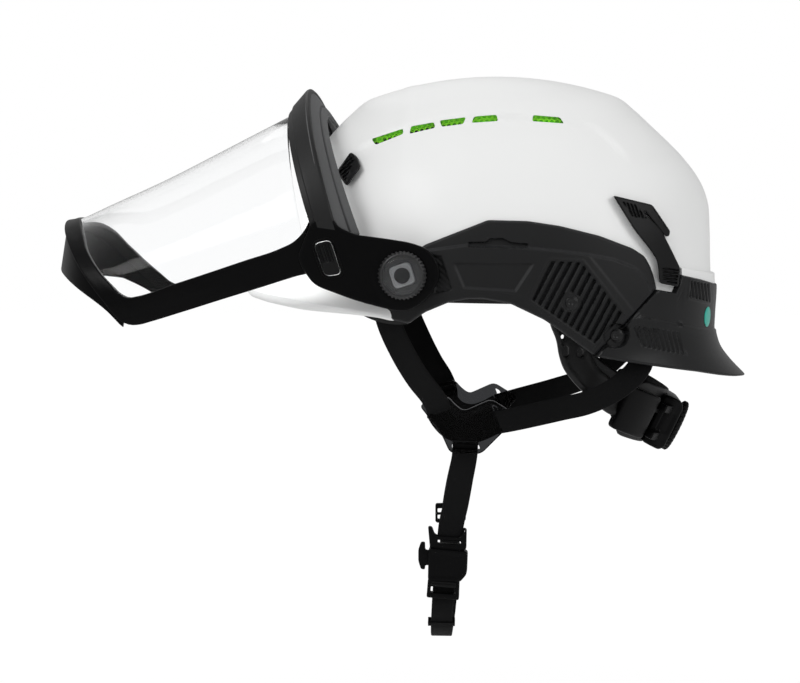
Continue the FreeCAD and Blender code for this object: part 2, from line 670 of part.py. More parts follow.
lens = lensBody(0.0, 0.0, 4, 0.0)
frameHollow = lensBody(0.1, 0.1, 4.2, 0.01)
frameBlank = lensBody(frameWall, frameWall, 12, 0.12)
barTop = [(-208, -1.3), (-118.2, 28.5)]
frameOuter = outline([(-101, 48), (-101, 15)], [(-101, 15), (-107.2, 13.2)], [(-107.2, 13.2), (-203, -16.6)],
                     [(-203, -16.6), (-210, -17.9), (-217, -16.2), (-224, -11), (-233, -3)],
                     [(-233, -3), (-270, 31)], [(-270, 31), (-264, 44)], [(-264, 44), (-256, 43)],
                     [(-256, 43), (-258.8, 33)], [(-258.8, 33), (-228.1, 9.4)],
                     [(-228.1, 9.4), (-219, 1.9), (-213, -1.2), (-208, -1.3)],
                     barTop, [(-118.2, 28.5), (-107, 35.5), (-101, 48)])
frame = frameBlank.common(across(frameOuter, -farOut, farOut)).cut(frameHollow)
armClear = across(armFace, armIn, farOut)
frame = frame.cut([armClear, mirrored(armClear)])
carrier = carrier.cut(lens)
addShape("visor_carrier", carrier)
addShape("visor_lens", lens.cut(carrier))
addShape("visor_frame", frame.cut(carrier))

sealWall = 2.4
seal = bowed([((-90, 42), (-112.5, 121), armIn - 0.2, 3, sealWall), ((-75.5, 39), (-101, 108.5), 100.5, 3, sealWall)])
addShape("brow_seal", seal.cut(carrier))


# ---------------------------------------------------------------- rivets of the outer covers
rivetHead = size("rivetHeight")
domed = dome(coverTop + 0.5 * rivetHead)
crowned = dome(coverTop + rivetHead)
insideWall = dome(-wall)
rivets = []
for spot in rivetSpots:
    y, z = at(*spot)
    disc = rod((0, y, z), (farOut, y, z), size("rivetRadius")).common(domed).cut(outerSkin)
    button = rod((0, y, z), (farOut, y, z), size("rivetRadius") * 0.72).common(crowned).cut(outerSkin)
    shank = rod((0, y, z), (farOut, y, z), size("rivetRadius") * 0.58).common(domed).cut(insideWall)
    rivet = disc.fuse(button).fuse(shank)
    rivets += [rivet, mirrored(rivet)]
addShape("cover_rivets", Part.makeCompound(rivets))

# ---------------------------------------------------------------- headband, brow pad and crown pads
bandFront, bandRear, bandHalf = size("bandFront"), size("bandRear"), size("bandHalfWidth")
bandWall = size("bandWall")


def ovalBlock(inset, low, high):
    ring = Part.Face(superRing(low, bandFront - inset, bandRear - inset, bandHalf - inset))
    return ring.extrude(Vector(0, 0, high - low))


bandSide = outline([(-120, -5), (-80, -5), (-30, -4), (35.8, -5)], [(35.8, -5), (35.8, 8)],
                   [(35.8, 8), (10, 12), (-40, 16), (-80, 20), (-120, 22)], [(-120, 22), (-120, -5)])
band = ovalBlock(0, -20, 30).cut(ovalBlock(bandWall, -20, 30)).common(across(bandSide, -farOut, farOut))
addShape("headband", band)
padDepth = size("padThickness")
browPadSide = outline([(-120, -7), (-20, -7)], [(-20, -7), (-14, 5), (-20, 15)], [(-20, 15), (-120, 24)],
                      [(-120, 24), (-120, -7)])
browPad = ovalBlock(bandWall, -20, 30).cut(ovalBlock(bandWall + padDepth, -20, 30))
addShape("brow_pad", browPad.common(across(browPadSide, -farOut, farOut)))

crownPad = dome(linerIn - 0.2).cut(dome(linerIn - 0.2 - padDepth))
middlePad = crownPad.common(Part.makeBox(36, 110, crown, Vector(-18, -52, 0.45 * crown)))
addShape("crown_pad", middlePad)
sidePad = crownPad.common(Part.makeBox(44, 74, crown, Vector(26, -30, 0.45 * crown)))
addPair("crown_pad", sidePad)

# ---------------------------------------------------------------- nape cradle and size ratchet
# the racks run on an arc about a tilted axis; the knob's pinion turns between them
tilt = math.radians(size("ratchetTilt"))
arcCentre = Vector(0, *at(38.4, -46.5))
arcRadius = size("napeRadius")
outward = Vector(0, math.cos(tilt), -math.sin(tilt))
upward = Vector(0, math.sin(tilt), math.cos(tilt))
arcFrame = Placement(arcCentre, Rotation(outward, Vector(-1, 0, 0), upward, "XYZ"))


def arcBand(near, far, low, high, start, end):
    """Band about the rack axis: radii, heights and angles towards the wearer's left."""
    corners = [Vector(near, 0, low), Vector(far, 0, low), Vector(far, 0, high), Vector(near, 0, high)]
    face = Part.Face(Part.makePolygon(corners + [corners[0]]))
    face.rotate(Vector(0, 0, 0), Vector(0, 0, 1), -end)
    band = face.revolve(Vector(0, 0, 0), Vector(0, 0, 1), end - start)
    band.Placement = arcFrame
    return band


module = size("toothModule")
pitchRadius = module * size("pinionTeeth") / 2
rackLow = pitchRadius - module
rackHigh = rackLow + size("rackWidth")
rackHalf = size("rackThickness") / 2
gap = size("rackClearance")
housingHalf = 27.0
housingFace = arcRadius + 8.6
toothStep = math.degrees(math.pi * module / arcRadius)


def rackStrip(sign):
    """Toothed strip: sign 1 runs above the pinion to the left arm, -1 below it to the right arm."""
    inner, outer = -12.0, 48.0
    low, high = sorted((sign * rackLow, sign * rackHigh))
    start, end = sorted((sign * inner, sign * outer))
    strip = arcBand(arcRadius - rackHalf, arcRadius + rackHalf, low, high, start, end)
    tip, root = rackLow - 0.2, pitchRadius + 1.25 * module
    slope = math.tan(math.radians(20))
    halfTip = math.pi * module / 4 + 0.14 + (pitchRadius - tip) * slope
    halfRoot = math.pi * module / 4 + 0.14 - (root - pitchRadius) * slope
    space = Part.Face(Part.makePolygon([Vector(0, -halfTip, sign * tip), Vector(0, halfTip, sign * tip),
                                        Vector(0, halfRoot, sign * root), Vector(0, -halfRoot, sign * root),
                                        Vector(0, -halfTip, sign * tip)]))
    block = space.extrude(Vector(4 * rackHalf, 0, 0))
    block.translate(Vector(arcRadius - 2 * rackHalf, 0, 0))
    for number in range(-6, 8):
        cut = block.copy()
        cut.rotate(Vector(0, 0, 0), Vector(0, 0, 1), -sign * number * toothStep)
        cut.Placement = arcFrame.multiply(cut.Placement)
        strip = strip.cut(cut)
    return strip


addShape("left_rack", rackStrip(1))
addShape("right_rack", rackStrip(-1))


def inArcFrame(shape):
    shape.Placement = arcFrame.multiply(shape.Placement)
    return shape


channelUp = arcBand(arcRadius - rackHalf - gap, arcRadius + rackHalf + gap, rackLow - gap, rackHigh + gap, -26, 56)
channelDown = arcBand(arcRadius - rackHalf - gap, arcRadius + rackHalf + gap, -rackHigh - gap, -rackLow + gap, -56, 26)
cradleRadius = arcRadius - 2.7
cradle = arcBand(cradleRadius - 2, cradleRadius, -17, 19, -46, 46)
cradleWindow = arcBand(cradleRadius - 3, cradleRadius + 1, -9, 10, 24, 40)
cradle = cradle.cut([cradleWindow, mirrored(cradleWindow)])
napePad = arcBand(cradleRadius - 2.2 - padDepth, cradleRadius - 2.2, -16, 18, -42, 42)

profile = [(60, -16.5), (housingFace - 2.2, -16.5), (housingFace, -14.5), (housingFace, 13.2), (housingFace - 2.2, 16.0),
           (arcRadius - 0.5, 16.5), (60, 16.5)]
corners = [Vector(a, -housingHalf, u) for a, u in profile]
housing = Part.Face(Part.makePolygon(corners + [corners[0]])).extrude(Vector(0, 2 * housingHalf, 0))
sideTaper = [(housingFace + 1, housingHalf - 4), (housingFace + 1, housingHalf + 1), (cradleRadius - 4, housingHalf + 1),
             (cradleRadius + 4, housingHalf)]
for sign in (1, -1):
    bevel = [Vector(a, sign * w, -30) for a, w in sideTaper]
    housing = housing.cut(Part.Face(Part.makePolygon(bevel + [bevel[0]])).extrude(Vector(0, 0, 60)))
housing = housing.cut(Part.makeCylinder(cradleRadius + 0.05, 80, Vector(0, 0, -40), Vector(0, 0, 1)))
pinionSpace = Part.makeCylinder(pitchRadius + 1.9, 2 * rackHalf + 3.2, Vector(arcRadius - rackHalf - 1.6, 0, 0), Vector(1, 0, 0))
shaftSpace = Part.makeCylinder(4.05, 40, Vector(arcRadius - 1, 0, 0), Vector(1, 0, 0))
housing = inArcFrame(housing.cut(pinionSpace).cut(shaftSpace)).cut([channelUp, channelDown])
addShape("ratchet_housing", housing)

pinion = newBody("ratchet_pinion")
hub = newSketch(pinion, "XY_Plane", "-1 * (Sizes.rackThickness / 2 + 0.9)")
addCircle(hub, "Sizes.toothModule * (Sizes.pinionTeeth / 2 - 1.25)")
pad(pinion, hub, "Sizes.rackThickness + 1.8")
flank = newSketch(pinion, "XY_Plane", "-1 * (Sizes.rackThickness / 2 + 0.9)")
rootY = "Sizes.toothModule * (Sizes.pinionTeeth / 2 - 1.4)"
pitchY = "Sizes.toothModule * Sizes.pinionTeeth / 2"
tipY = "Sizes.toothModule * (Sizes.pinionTeeth / 2 + 0.92)"
addLoop(flank, [("-1.1 * Sizes.toothModule", rootY), ("1.1 * Sizes.toothModule", rootY),
                ("0.7 * Sizes.toothModule", pitchY), ("0.26 * Sizes.toothModule", tipY),
                ("-0.26 * Sizes.toothModule", tipY), ("-0.7 * Sizes.toothModule", pitchY)])
tooth = pad(pinion, flank, "Sizes.rackThickness + 1.8")
spread(pinion, tooth, "Sizes.pinionTeeth")
shaft = newSketch(pinion, "XY_Plane", "0")
addCircle(shaft, "3.95")
pad(pinion, shaft, "8.75")
pinionCentre = arcCentre + outward * arcRadius
knobTurn = Rotation(Vector(-1, 0, 0), upward, outward, "ZYX")
pinion.Placement = Placement(pinionCentre, knobTurn)

dial = turnedBody("ratchet_knob", [("0", "8.9"), ("Sizes.dialRadius - 0.8", "8.9"), ("Sizes.dialRadius", "9.7"),
                                   ("Sizes.dialRadius", "8.1 + Sizes.dialDepth"),
                                   ("Sizes.dialRadius - 1.2", "8.9 + Sizes.dialDepth"),
                                   ("Sizes.dialRadius - 4.5", "8.9 + Sizes.dialDepth"),
                                   ("Sizes.dialRadius - 5.5", "7.9 + Sizes.dialDepth"), ("0", "7.9 + Sizes.dialDepth")])
grip = newSketch(dial, "XY_Plane", "8")
addCircle(grip, "1.0", "Sizes.dialRadius + 0.35")
gripCut = pocket(dial, grip, "Sizes.dialDepth + 2", reverse=True)
spread(dial, gripCut, "Sizes.dialNotches")
ridgeSketch = newSketch(dial, "XY_Plane", "7.5 + Sizes.dialDepth")
addLoop(ridgeSketch, [("-1.6", "-1 * Sizes.dialRadius + 5"), ("1.6", "-1 * Sizes.dialRadius + 5"),
                      ("1.6", "Sizes.dialRadius - 5"), ("-1.6", "Sizes.dialRadius - 5")])
pad(dial, ridgeSketch, "1.4")
dial.Placement = Placement(pinionCentre, knobTurn)


def napeSkin(inset):
    rings = [superRing(-90, bandFront - inset, bandRear + 5.6 - inset, bandHalf + 3.4 - inset),
             superRing(6, bandFront - inset, bandRear - inset, bandHalf - inset)]
    return Part.makeLoft(rings, True, False)


napeSide = outline([(36, 4), (36, -8)], [(36, -8), (37.3, -17.1), (40.8, -25.9), (42.6, -35.3), (45, -42.4), (49.8, -49.5),
                                         (60, -60), (75, -72)],
                   [(75, -72), (92, -74)], [(92, -74), (94, -62)], [(94, -62), (72.6, -48.8), (65.5, -42.3), (62, -35.8),
                                                                  (60.5, -20), (62, -8), (62, 4)],
                   [(62, 4), (36, 4)])
arm = across(napeSide, 0.2 * side, side).common(napeSkin(-0.2)).cut(napeSkin(2.8))
sleeve = arcBand(cradleRadius, arcRadius + 3.0, -14, 14, 34, 53)
slot = [((44.3, -23.8), (44.3, -24.2), 1.1), ((46.1, -31.4), (46.1, -34.0), 1.9), ((54.8, -33.4), (54.8, -34.2), 2.1)]
holes = []
for first, second, radius in slot:
    for y, z in (first, second):
        holes.append(rod((0, *at(y, z)), (farOut, *at(y, z)), radius))
arm = arm.fuse(sleeve).cut(holes)
leftArm = arm.cut(channelUp)
rightArm = mirrored(arm).cut(channelDown)
addShape("left_nape_arm", leftArm)
addShape("right_nape_arm", rightArm)
addShape("nape_cradle", cradle.cut([leftArm, rightArm]))
addShape("nape_pad", napePad.cut([leftArm, rightArm]))


# ---------------------------------------------------------------- chin-strap harness
webHalf = size("webThickness") / 2


def ribbon(stations, width):
    """Flat webbing through (centre, direction of its width) pairs."""
    wires = []
    last = len(stations) - 1
    for i, (centre, broad) in enumerate(stations):
        here = Vector(*centre)
        along = Vector(*stations[min(i + 1, last)][0]) - Vector(*stations[max(i - 1, 0)][0])
        along.normalize()
        flat = Vector(*broad)
        flat = (flat - along * flat.dot(along)).normalize()
        face = along.cross(flat)
        corners = [here + flat * (a * width / 2) + face * (b * webHalf) for a, b in ((1, 1), (-1, 1), (-1, -1), (1, -1))]
        wires.append(Part.makePolygon(corners + [corners[0]]))
    return Part.makeLoft(wires, True, True)


webWidth = size("webWidth")
chinWidth = size("chinWebWidth")
frontStrap = ribbon([((91, -59, -8.6), (0.2, 1, 0)), ((90.6, -57.2, -15.2), (0.2, 1, 0)), ((84, -48.5, -35.5), (0.1, 1, 0.1)),
                     ((74, -40, -50.8), (0, 1, 0.15)), ((64, -32.4, -62), (0, 1, 0.25)), ((57.5, -29.6, -69), (0, 1, 0.3)),
                     ((54.6, -29.2, -73.5), (0, 1, 0.32))], webWidth - 1)
rearStrap = ribbon([((55.0, 4.0, -77.5), (0, -0.5, 1)), ((60, 14, -75), (0, -0.12, 1)), ((68, 43, -67.5), (0, 0.05, 1)),
                    ((75.5, 59.2, -62.7), (0, 0.1, 1)), ((82, 76, -53.5), (0, -0.3, 1)), ((84.0, 88, -42), (-0.3, -0.8, 0.8)),
                    ((78, 93, -31), (-0.6, 0.8, 0.1))], webWidth - 2)
lowerStrap = ribbon([((56.5, -13.5, -88), (0, 1, 0.02)), ((52.5, -13.8, -95), (0, 1, 0)), ((48, -16.8, -113), (0, 1, 0)),
                     ((43.5, -19.5, -128), (0, 1, -0.05)), ((40.6, -22.6, -142.5), (0, 1, -0.08)),
                     ((40.4, -23.4, -150), (0, 1, -0.08))], webWidth - 0.6)
addPair("front_strap", frontStrap)
addPair("rear_strap", rearStrap)
addShape("left_lower_strap", lowerStrap)

triangle = outline([(-41.5, -66.8), (-24, -61.3)], [(-24, -61.3), (-19.5, -66.5), (-14.4, -70.2)],
                   [(-14.4, -70.2), (1.8, -62.9)], [(1.8, -62.9), (17.4, -72.5)], [(17.4, -72.5), (10.3, -81.6)],
                   [(10.3, -81.6), (-4.1, -96.2)], [(-4.1, -96.2), (-22.8, -95.7)], [(-22.8, -95.7), (-28.2, -83.7)],
                   [(-28.2, -83.7), (-41.5, -66.8)])
dividerIn = 54.0
divider = across(triangle, dividerIn, dividerIn + size("dividerThickness"))
windows = [[(-37.2, -68.4), (-24.4, -64.2), (-23.2, -67.4), (-35.6, -71.6)],
           [(-34.0, -74.0), (-21.6, -69.8), (-19.0, -73.0), (-29.0, -81.0)],
           [(1.6, -67.0), (4.0, -68.2), (8.0, -79.6), (5.6, -80.4)],
           [(-22.0, -89.0), (-5.0, -89.4), (-4.2, -93.2), (-22.0, -92.8)],
           [(-18.5, -75.6), (-3.6, -71.6), (1.2, -81.0), (-2.8, -85.6), (-20.8, -85.4)]]
for corners in windows:
    divider = divider.cut(across(polygon(corners), dividerIn - 1, dividerIn + 6))
divider = divider.cut([frontStrap, rearStrap])
addShape("left_strap_divider", divider.cut(lowerStrap))

chinStrap = ribbon([((40.5, -27.2, -180), (0, 1, 0)), ((39.5, -27.8, -189), (0, 1, 0)), ((36, -28.4, -199), (0, 1, 0)),
                    ((28.5, -29.0, -208.5), (0, 1, 0)), ((16, -29.4, -214.8), (0, 1, 0)), ((0, -29.6, -216.7), (0, 1, 0)),
                    ((-16, -29.4, -214.8), (0, 1, 0)), ((-28.5, -28.6, -208), (0, 1, 0)), ((-37, -27.6, -195), (0, 1, 0)),
                    ((-40, -26.6, -175), (0, 1, 0)), ((-41.5, -25.4, -147), (0, 1, 0)), ((-44, -22.5, -128), (0, 1, 0)),
                    ((-48, -18.5, -110), (0, 1, 0)), ((-54.5, -13.6, -88), (0, 1, 0.02))], chinWidth)
addShape("chin_strap", chinStrap)
addShape("right_strap_divider", mirrored(divider).cut(chinStrap))

# ---------------------------------------------------------------- chin buckle
buckleIn, buckleOut = 36.0, 46.0
shellFace = polygon([(-36.2, -155.4), (-12.3, -157.4), (-12.8, -171.5), (-17.1, -176.5), (-36.6, -176.0)])
buckleBody = across(shellFace, buckleIn, buckleOut)
throat = across(polygon([(-34.0, -150.0), (-15.0, -151.0), (-15.0, -169.0), (-34.4, -168.6)]), 38.2, 43.4)
buttonWell = across(polygon([(-42, -157.0), (-31.5, -157.0), (-31.5, -167.4), (-42, -167.0)]), 38.6, 43.0)
barLine = rod((45.4, -33.6, -175.4), (45.4, -19.0, -176.4), 1.5)
addShape("buckle_body", buckleBody.cut([throat, buttonWell, barLine]))

plugFace = polygon([(-34.9, -143.2), (-32.4, -144.4), (-31.6, -147.4), (-16.6, -148.6), (-15.6, -145.8), (-13.2, -145.0),
                    (-13.4, -154.0), (-15.6, -154.2), (-15.8, -167.6), (-30.6, -167.4), (-30.8, -155.6), (-33.6, -155.2),
                    (-33.8, -152.4), (-34.8, -152.2)])
plug = across(plugFace, 38.6, 43.0)
plugSlot = across(polygon([(-30.8, -149.2), (-16.4, -150.3), (-16.4, -152.6), (-30.8, -151.6)]), 37, 44)
addShape("buckle_plug", plug.cut([plugSlot, lowerStrap]))

tabFace = outline([(-39.9, -153.4), (-38.8, -152.4)], [(-38.8, -152.4), (-38.8, -157.4)], [(-38.8, -157.4), (-34.2, -157.4)],
                  [(-34.2, -157.4), (-34.2, -166.6)], [(-34.2, -166.6), (-38.8, -166.8)], [(-38.8, -166.8), (-38.8, -168.8)],
                  [(-38.8, -168.8), (-39.9, -168.0)], [(-39.9, -168.0), (-41.3, -163), (-41.5, -158), (-39.9, -153.4)])
tab = across(tabFace, 38.9, 42.7)
addShape("buckle_button", tab)

adjusterFace = polygon([(-36.6, -176.0), (-17.3, -176.5), (-17.7, -187.8), (-37.5, -186.2)])
adjuster = across(adjusterFace, 37.2, 44.6)
webWindow = across(polygon([(-34.9, -178.6), (-19.6, -179.6), (-19.9, -184.6), (-35.2, -183.6)]), 41.6, 50)
webPath = across(polygon([(-34.4, -177.6), (-20.0, -177.8), (-20.0, -192), (-34.8, -190)]), 39.0, 42.2)
addShape("buckle_adjuster", adjuster.cut([webWindow, webPath, barLine, chinStrap]))
addShape("buckle_bar", barLine)

keeperOuter = Part.makeBox(4.6, chinWidth + 3.6, 3.0, Vector(-2.3, -chinWidth / 2 - 1.8, -1.5))
keeperInner = Part.makeBox(2.4, chinWidth + 1.0, 5.0, Vector(-1.2, -chinWidth / 2 - 0.5, -2.5))
keeper = keeperOuter.cut(keeperInner)
keeper.Placement = Placement(Vector(32.6, -28.7, -203.3), Rotation(Vector(0, 1, 0), 38.3))
addShape("strap_keeper", keeper)

sliderFace = outline([(-35.6, -142.2), (-34.6, -141.2), (-17, -140.2), (-16, -141.2)], [(-16, -141.2), (-16, -151.2)],
                     [(-16, -151.2), (-17, -152.2), (-34.6, -153.2), (-35.6, -152.2)], [(-35.6, -152.2), (-35.6, -142.2)])
slider = across(sliderFace, -43.6, -39.4)
for z in (-145.4, -149.6):
    slider = slider.cut(across(polygon([(-34.4, z + 1.4), (-17.4, z + 2.2), (-17.4, z - 0.8), (-34.4, z - 1.4)]), -46, -36))
addShape("strap_slider", slider.cut(chinStrap))

# ---------------------------------------------------------------- strap anchors inside the rim
insideShell = dome(-wall - 0.05)
frontBlock = outline([(-74, -3.4), (-73.4, -11.0)], [(-73.4, -11.0), (-63.9, -14.5), (-46, -15.5)], [(-46, -15.5), (-44, -7)],
                     [(-44, -7), (-74, -3.4)])
frontAnchor = across(frontBlock, bandHalf - 14, farOut).common(insideShell).cut([ovalBlock(-0.1, -20, 30), liner, frontStrap])
rearBlock = polygon([(82, -22.8), (104, -22.9), (105, -33.5), (84, -35)])
rearAnchor = across(rearBlock, 60, farOut).common(insideShell).cut([liner, rearStrap])
addPair("front_anchor", frontAnchor)
addPair("rear_anchor", rearAnchor)


# ---------------------------------------------------------------- check and export
doc.recompute()
for item in doc.Objects:
    if "Invalid" in item.State or "Error" in item.State:
        raise RuntimeError(f"{item.Label} did not compute: {item.State}")
nodes = [o for o in doc.Objects if o.TypeId == "PartDesign::Body" or o in ownShapes]
for node in nodes:
    if node.Shape.isNull() or not node.Shape.isValid() or not node.Shape.Solids:
        raise RuntimeError(f"{node.Label} has no sound solid")
for node in nodes:
    node.Shape.exportStep(f"parts/{node.Label}.step")
    print(node.Label, len(node.Shape.Solids), round(node.Shape.Volume / 1000, 2), "cm3")
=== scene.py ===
# Industrial safety helmet with a raised clear face shield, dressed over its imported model.
# The helmet faces -Y, the wearer's left is +X, up is +Z, all in metres.
import math

import bmesh
import bpy
import numpy as np
from mathutils import Matrix, Vector
from mathutils.geometry import delaunay_2d_cdt
from mathutils.kdtree import KDTree


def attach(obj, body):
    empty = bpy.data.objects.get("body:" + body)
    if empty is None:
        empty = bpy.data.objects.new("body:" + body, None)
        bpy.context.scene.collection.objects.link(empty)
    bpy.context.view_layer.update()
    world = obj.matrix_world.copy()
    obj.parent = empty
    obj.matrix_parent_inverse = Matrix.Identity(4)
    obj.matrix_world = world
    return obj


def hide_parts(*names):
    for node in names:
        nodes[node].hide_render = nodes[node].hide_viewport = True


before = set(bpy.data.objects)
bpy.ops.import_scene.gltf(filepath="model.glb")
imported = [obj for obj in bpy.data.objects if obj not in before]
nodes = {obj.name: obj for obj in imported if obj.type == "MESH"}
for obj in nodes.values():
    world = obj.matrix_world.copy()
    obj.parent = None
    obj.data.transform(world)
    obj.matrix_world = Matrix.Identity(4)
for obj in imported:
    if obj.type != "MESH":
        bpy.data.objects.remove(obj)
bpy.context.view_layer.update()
scene = bpy.context.scene
mm = 0.001
print("frame loaded:", len(nodes), "nodes")

# camera, lamps and floor

view = {
    "cameraPlace": (1.3001, 0.0232, 0.0586),
    "cameraAim": (0.0057, -0.0560, -0.0321),
    "fieldWidth": 2 * math.atan(400 / 2080),
    "floorHeight": -0.36,
    "keyPower": 16.0,
    "lowLight": 0.42,        # the room behind the camera
    "skyLight": 0.60,        # overhead
    "backLight": 0.45,       # towards the pale backdrop
}


def aimed(place, aim):
    back = (Vector(place) - Vector(aim)).normalized()
    side = Vector((0, 0, 1)).cross(back).normalized()
    up = back.cross(side)
    turn = Matrix((side, up, back)).transposed().to_4x4()
    turn.translation = Vector(place)
    return turn


cameraData = bpy.data.cameras.new("camera")
cameraData.sensor_fit = "HORIZONTAL"
cameraData.angle = view["fieldWidth"]
cameraData.clip_end = 20
camera = bpy.data.objects.new("camera", cameraData)
camera.matrix_world = aimed(view["cameraPlace"], view["cameraAim"])
scene.collection.objects.link(camera)
scene.camera = camera
scene.view_settings.view_transform = "Standard"


def addLamp(name, place, aim, size, power):
    data = bpy.data.lights.new(name, "AREA")
    data.shape = "DISK"
    data.size = size
    data.energy = power
    lamp = bpy.data.objects.new(name, data)
    lamp.matrix_world = aimed(place, aim)
    scene.collection.objects.link(lamp)
    return lamp


addLamp("keyLamp", (1.15, -1.15, 1.25), (0, 0, 0.02), 1.0, view["keyPower"])
addLamp("fillLamp", (0.8, 1.3, 0.7), (0, 0, 0), 0.9, view["keyPower"] * 0.42)
addLamp("farLamp", (-1.2, -0.3, 1.1), (0, 0, 0.02), 1.0, view["keyPower"] * 0.10)


def mathIn(tree, operation, *values):
    node = tree.nodes.new("ShaderNodeMath")
    node.operation = operation
    for socket, value in zip(node.inputs, values):
        if isinstance(value, (int, float)):
            socket.default_value = value
        else:
            tree.links.new(value, socket)
    return node.outputs[0]


def blendIn(tree, value, low, high):
    node = tree.nodes.new("ShaderNodeMapRange")
    node.interpolation_type = "SMOOTHSTEP"
    tree.links.new(value, node.inputs["Value"])
    node.inputs["From Min"].default_value = low
    node.inputs["From Max"].default_value = high
    return node.outputs["Result"]


# the world is a dim room with a pale backdrop and a soft ceiling; the camera and clear sheets see it white
def buildWorld():
    world = bpy.data.worlds.new("studio")
    world.use_nodes = True
    scene.world = world
    tree = world.node_tree
    back = tree.nodes["Background"]
    apart = tree.nodes.new("ShaderNodeSeparateXYZ")
    tree.links.new(tree.nodes.new("ShaderNodeTexCoord").outputs["Generated"], apart.inputs[0])
    sky = mathIn(tree, "MULTIPLY", blendIn(tree, apart.outputs["Z"], 0.15, 0.85), view["skyLight"])
    far = mathIn(tree, "MULTIPLY", blendIn(tree, mathIn(tree, "MULTIPLY", apart.outputs["X"], -1.0), -0.1,
                                           0.7),
                 view["backLight"])
    light = mathIn(tree, "MAXIMUM", mathIn(tree, "MAXIMUM", sky, far), view["lowLight"])
    seen = tree.nodes.new("ShaderNodeLightPath")
    straight = mathIn(tree, "MAXIMUM", seen.outputs["Is Camera Ray"], seen.outputs["Is Transmission Ray"])
    strength = mathIn(tree, "ADD", mathIn(tree, "MULTIPLY", light, mathIn(tree, "SUBTRACT", 1.0, straight)),
                      straight)
    back.inputs["Color"].default_value = (1, 1, 1, 1)
    tree.links.new(strength, back.inputs["Strength"])


buildWorld()


# the floor is white to the camera far off, and near the helmet it keeps some of its own shade and shadow
def buildFloor():
    reach = 6.0
    points = [(-reach, -reach), (reach, -reach), (reach, reach), (-reach, reach)]
    mesh = bpy.data.meshes.new("floor")
    mesh.from_pydata([(x, y, view["floorHeight"]) for x, y in points], [], [(0, 1, 2, 3)])
    floor = bpy.data.objects.new("floor", mesh)
    scene.collection.objects.link(floor)
    material = bpy.data.materials.new("paleFloor")
    material.use_nodes = True
    tree = material.node_tree
    shader = tree.nodes["Principled BSDF"]
    shader.inputs["Base Color"].default_value = (0.9, 0.9, 0.9, 1)
    shader.inputs["Roughness"].default_value = 0.9
    glow = tree.nodes.new("ShaderNodeEmission")
    glow.inputs["Color"].default_value = (1, 1, 1, 1)
    glow.inputs["Strength"].default_value = 1.02
    light = tree.nodes.new("ShaderNodeLightPath")
    mix = tree.nodes.new("ShaderNodeMixShader")
    away = tree.nodes.new("ShaderNodeVectorMath")
    away.operation = "LENGTH"
    tree.links.new(tree.nodes.new("ShaderNodeTexCoord").outputs["Object"], away.inputs[0])
    plain = mathIn(tree, "MULTIPLY_ADD", blendIn(tree, away.outputs["Value"], 0.30, 0.95), 0.12, 0.88)
    sight = mathIn(tree, "MAXIMUM", light.outputs["Is Camera Ray"], light.outputs["Is Transmission Ray"])
    tree.links.new(mathIn(tree, "MULTIPLY", sight, plain), mix.inputs[0])
    tree.links.new(shader.outputs[0], mix.inputs[1])
    tree.links.new(glow.outputs[0], mix.inputs[2])
    tree.links.new(mix.outputs[0], tree.nodes["Material Output"].inputs["Surface"])
    mesh.materials.append(material)


buildFloor()
print("camera, lamps and floor are in place")

# mesh tools


# Puts points and quads or triangles into a new object, merges doubles and turns every face outward.
def addPiece(name, points, faces, material, body, replaces=(), sharp=38, uv=None, wearAndHighlight=None):
    mesh = bpy.data.meshes.new(name)
    points = np.asarray(points, float).reshape(-1, 3) * mm
    mesh.vertices.add(len(points))
    mesh.vertices.foreach_set("co", points.ravel())
    corners = np.concatenate([np.asarray(f).ravel() for f in faces])
    sizes = np.concatenate([np.full(len(f), np.shape(f)[1]) for f in faces])
    mesh.loops.add(len(corners))
    mesh.loops.foreach_set("vertex_index", corners)
    mesh.polygons.add(len(sizes))
    mesh.polygons.foreach_set("loop_start", np.cumsum(sizes) - sizes)
    mesh.update(calc_edges=True)
    if uv is not None:
        layer = mesh.uv_layers.new(name="surface")
        layer.data.foreach_set("uv", np.asarray(uv, float).reshape(-1, 2)[corners].ravel())
    # the mask stored here makes the colour paler: edge wear together with painted highlights
    if wearAndHighlight is not None:
        spot = mesh.attributes.new("wearAndHighlight", "FLOAT", "POINT")
        spot.data.foreach_set("value", np.asarray(wearAndHighlight, float).ravel())
    tidyMesh(mesh, sharp)
    piece = bpy.data.objects.new(name, mesh)
    scene.collection.objects.link(piece)
    mesh.materials.append(material)
    return settle(piece, body, replaces)


def tidyMesh(mesh, sharp=38):
    build = bmesh.new()
    build.from_mesh(mesh)
    bmesh.ops.remove_doubles(build, verts=build.verts, dist=2e-6)
    bmesh.ops.dissolve_degenerate(build, edges=build.edges, dist=1e-7)
    bmesh.ops.recalc_face_normals(build, faces=build.faces)
    build.to_mesh(mesh)
    build.free()
    mesh.shade_smooth()
    mesh.set_sharp_from_angle(angle=math.radians(sharp))


def settle(piece, body, replaces=()):
    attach(piece, body)
    if replaces:
        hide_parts(*replaces)
    return piece


# The same piece on the other side: x changes sign and every face is turned over.
def mirrorPiece(piece, name, body, replaces=()):
    mesh = piece.data.copy()
    mesh.name = name
    mesh.transform(Matrix.Scale(-1, 4, (1, 0, 0)))
    mesh.flip_normals()
    twin = bpy.data.objects.new(name, mesh)
    scene.collection.objects.link(twin)
    return settle(twin, body, replaces)


# Quads between neighbouring rows and columns of a grid, closed round either way on request.
def gridFaces(rows, cols, closeRows=False, closeCols=False, first=0):
    r = np.arange(rows if closeRows else rows - 1)
    c = np.arange(cols if closeCols else cols - 1)
    rr, cc = np.meshgrid(r, c, indexing="ij")
    r1, c1 = (rr + 1) % rows, (cc + 1) % cols
    quads = np.stack([rr * cols + cc, rr * cols + c1, r1 * cols + c1, r1 * cols + cc], -1)
    return quads.reshape(-1, 4) + first


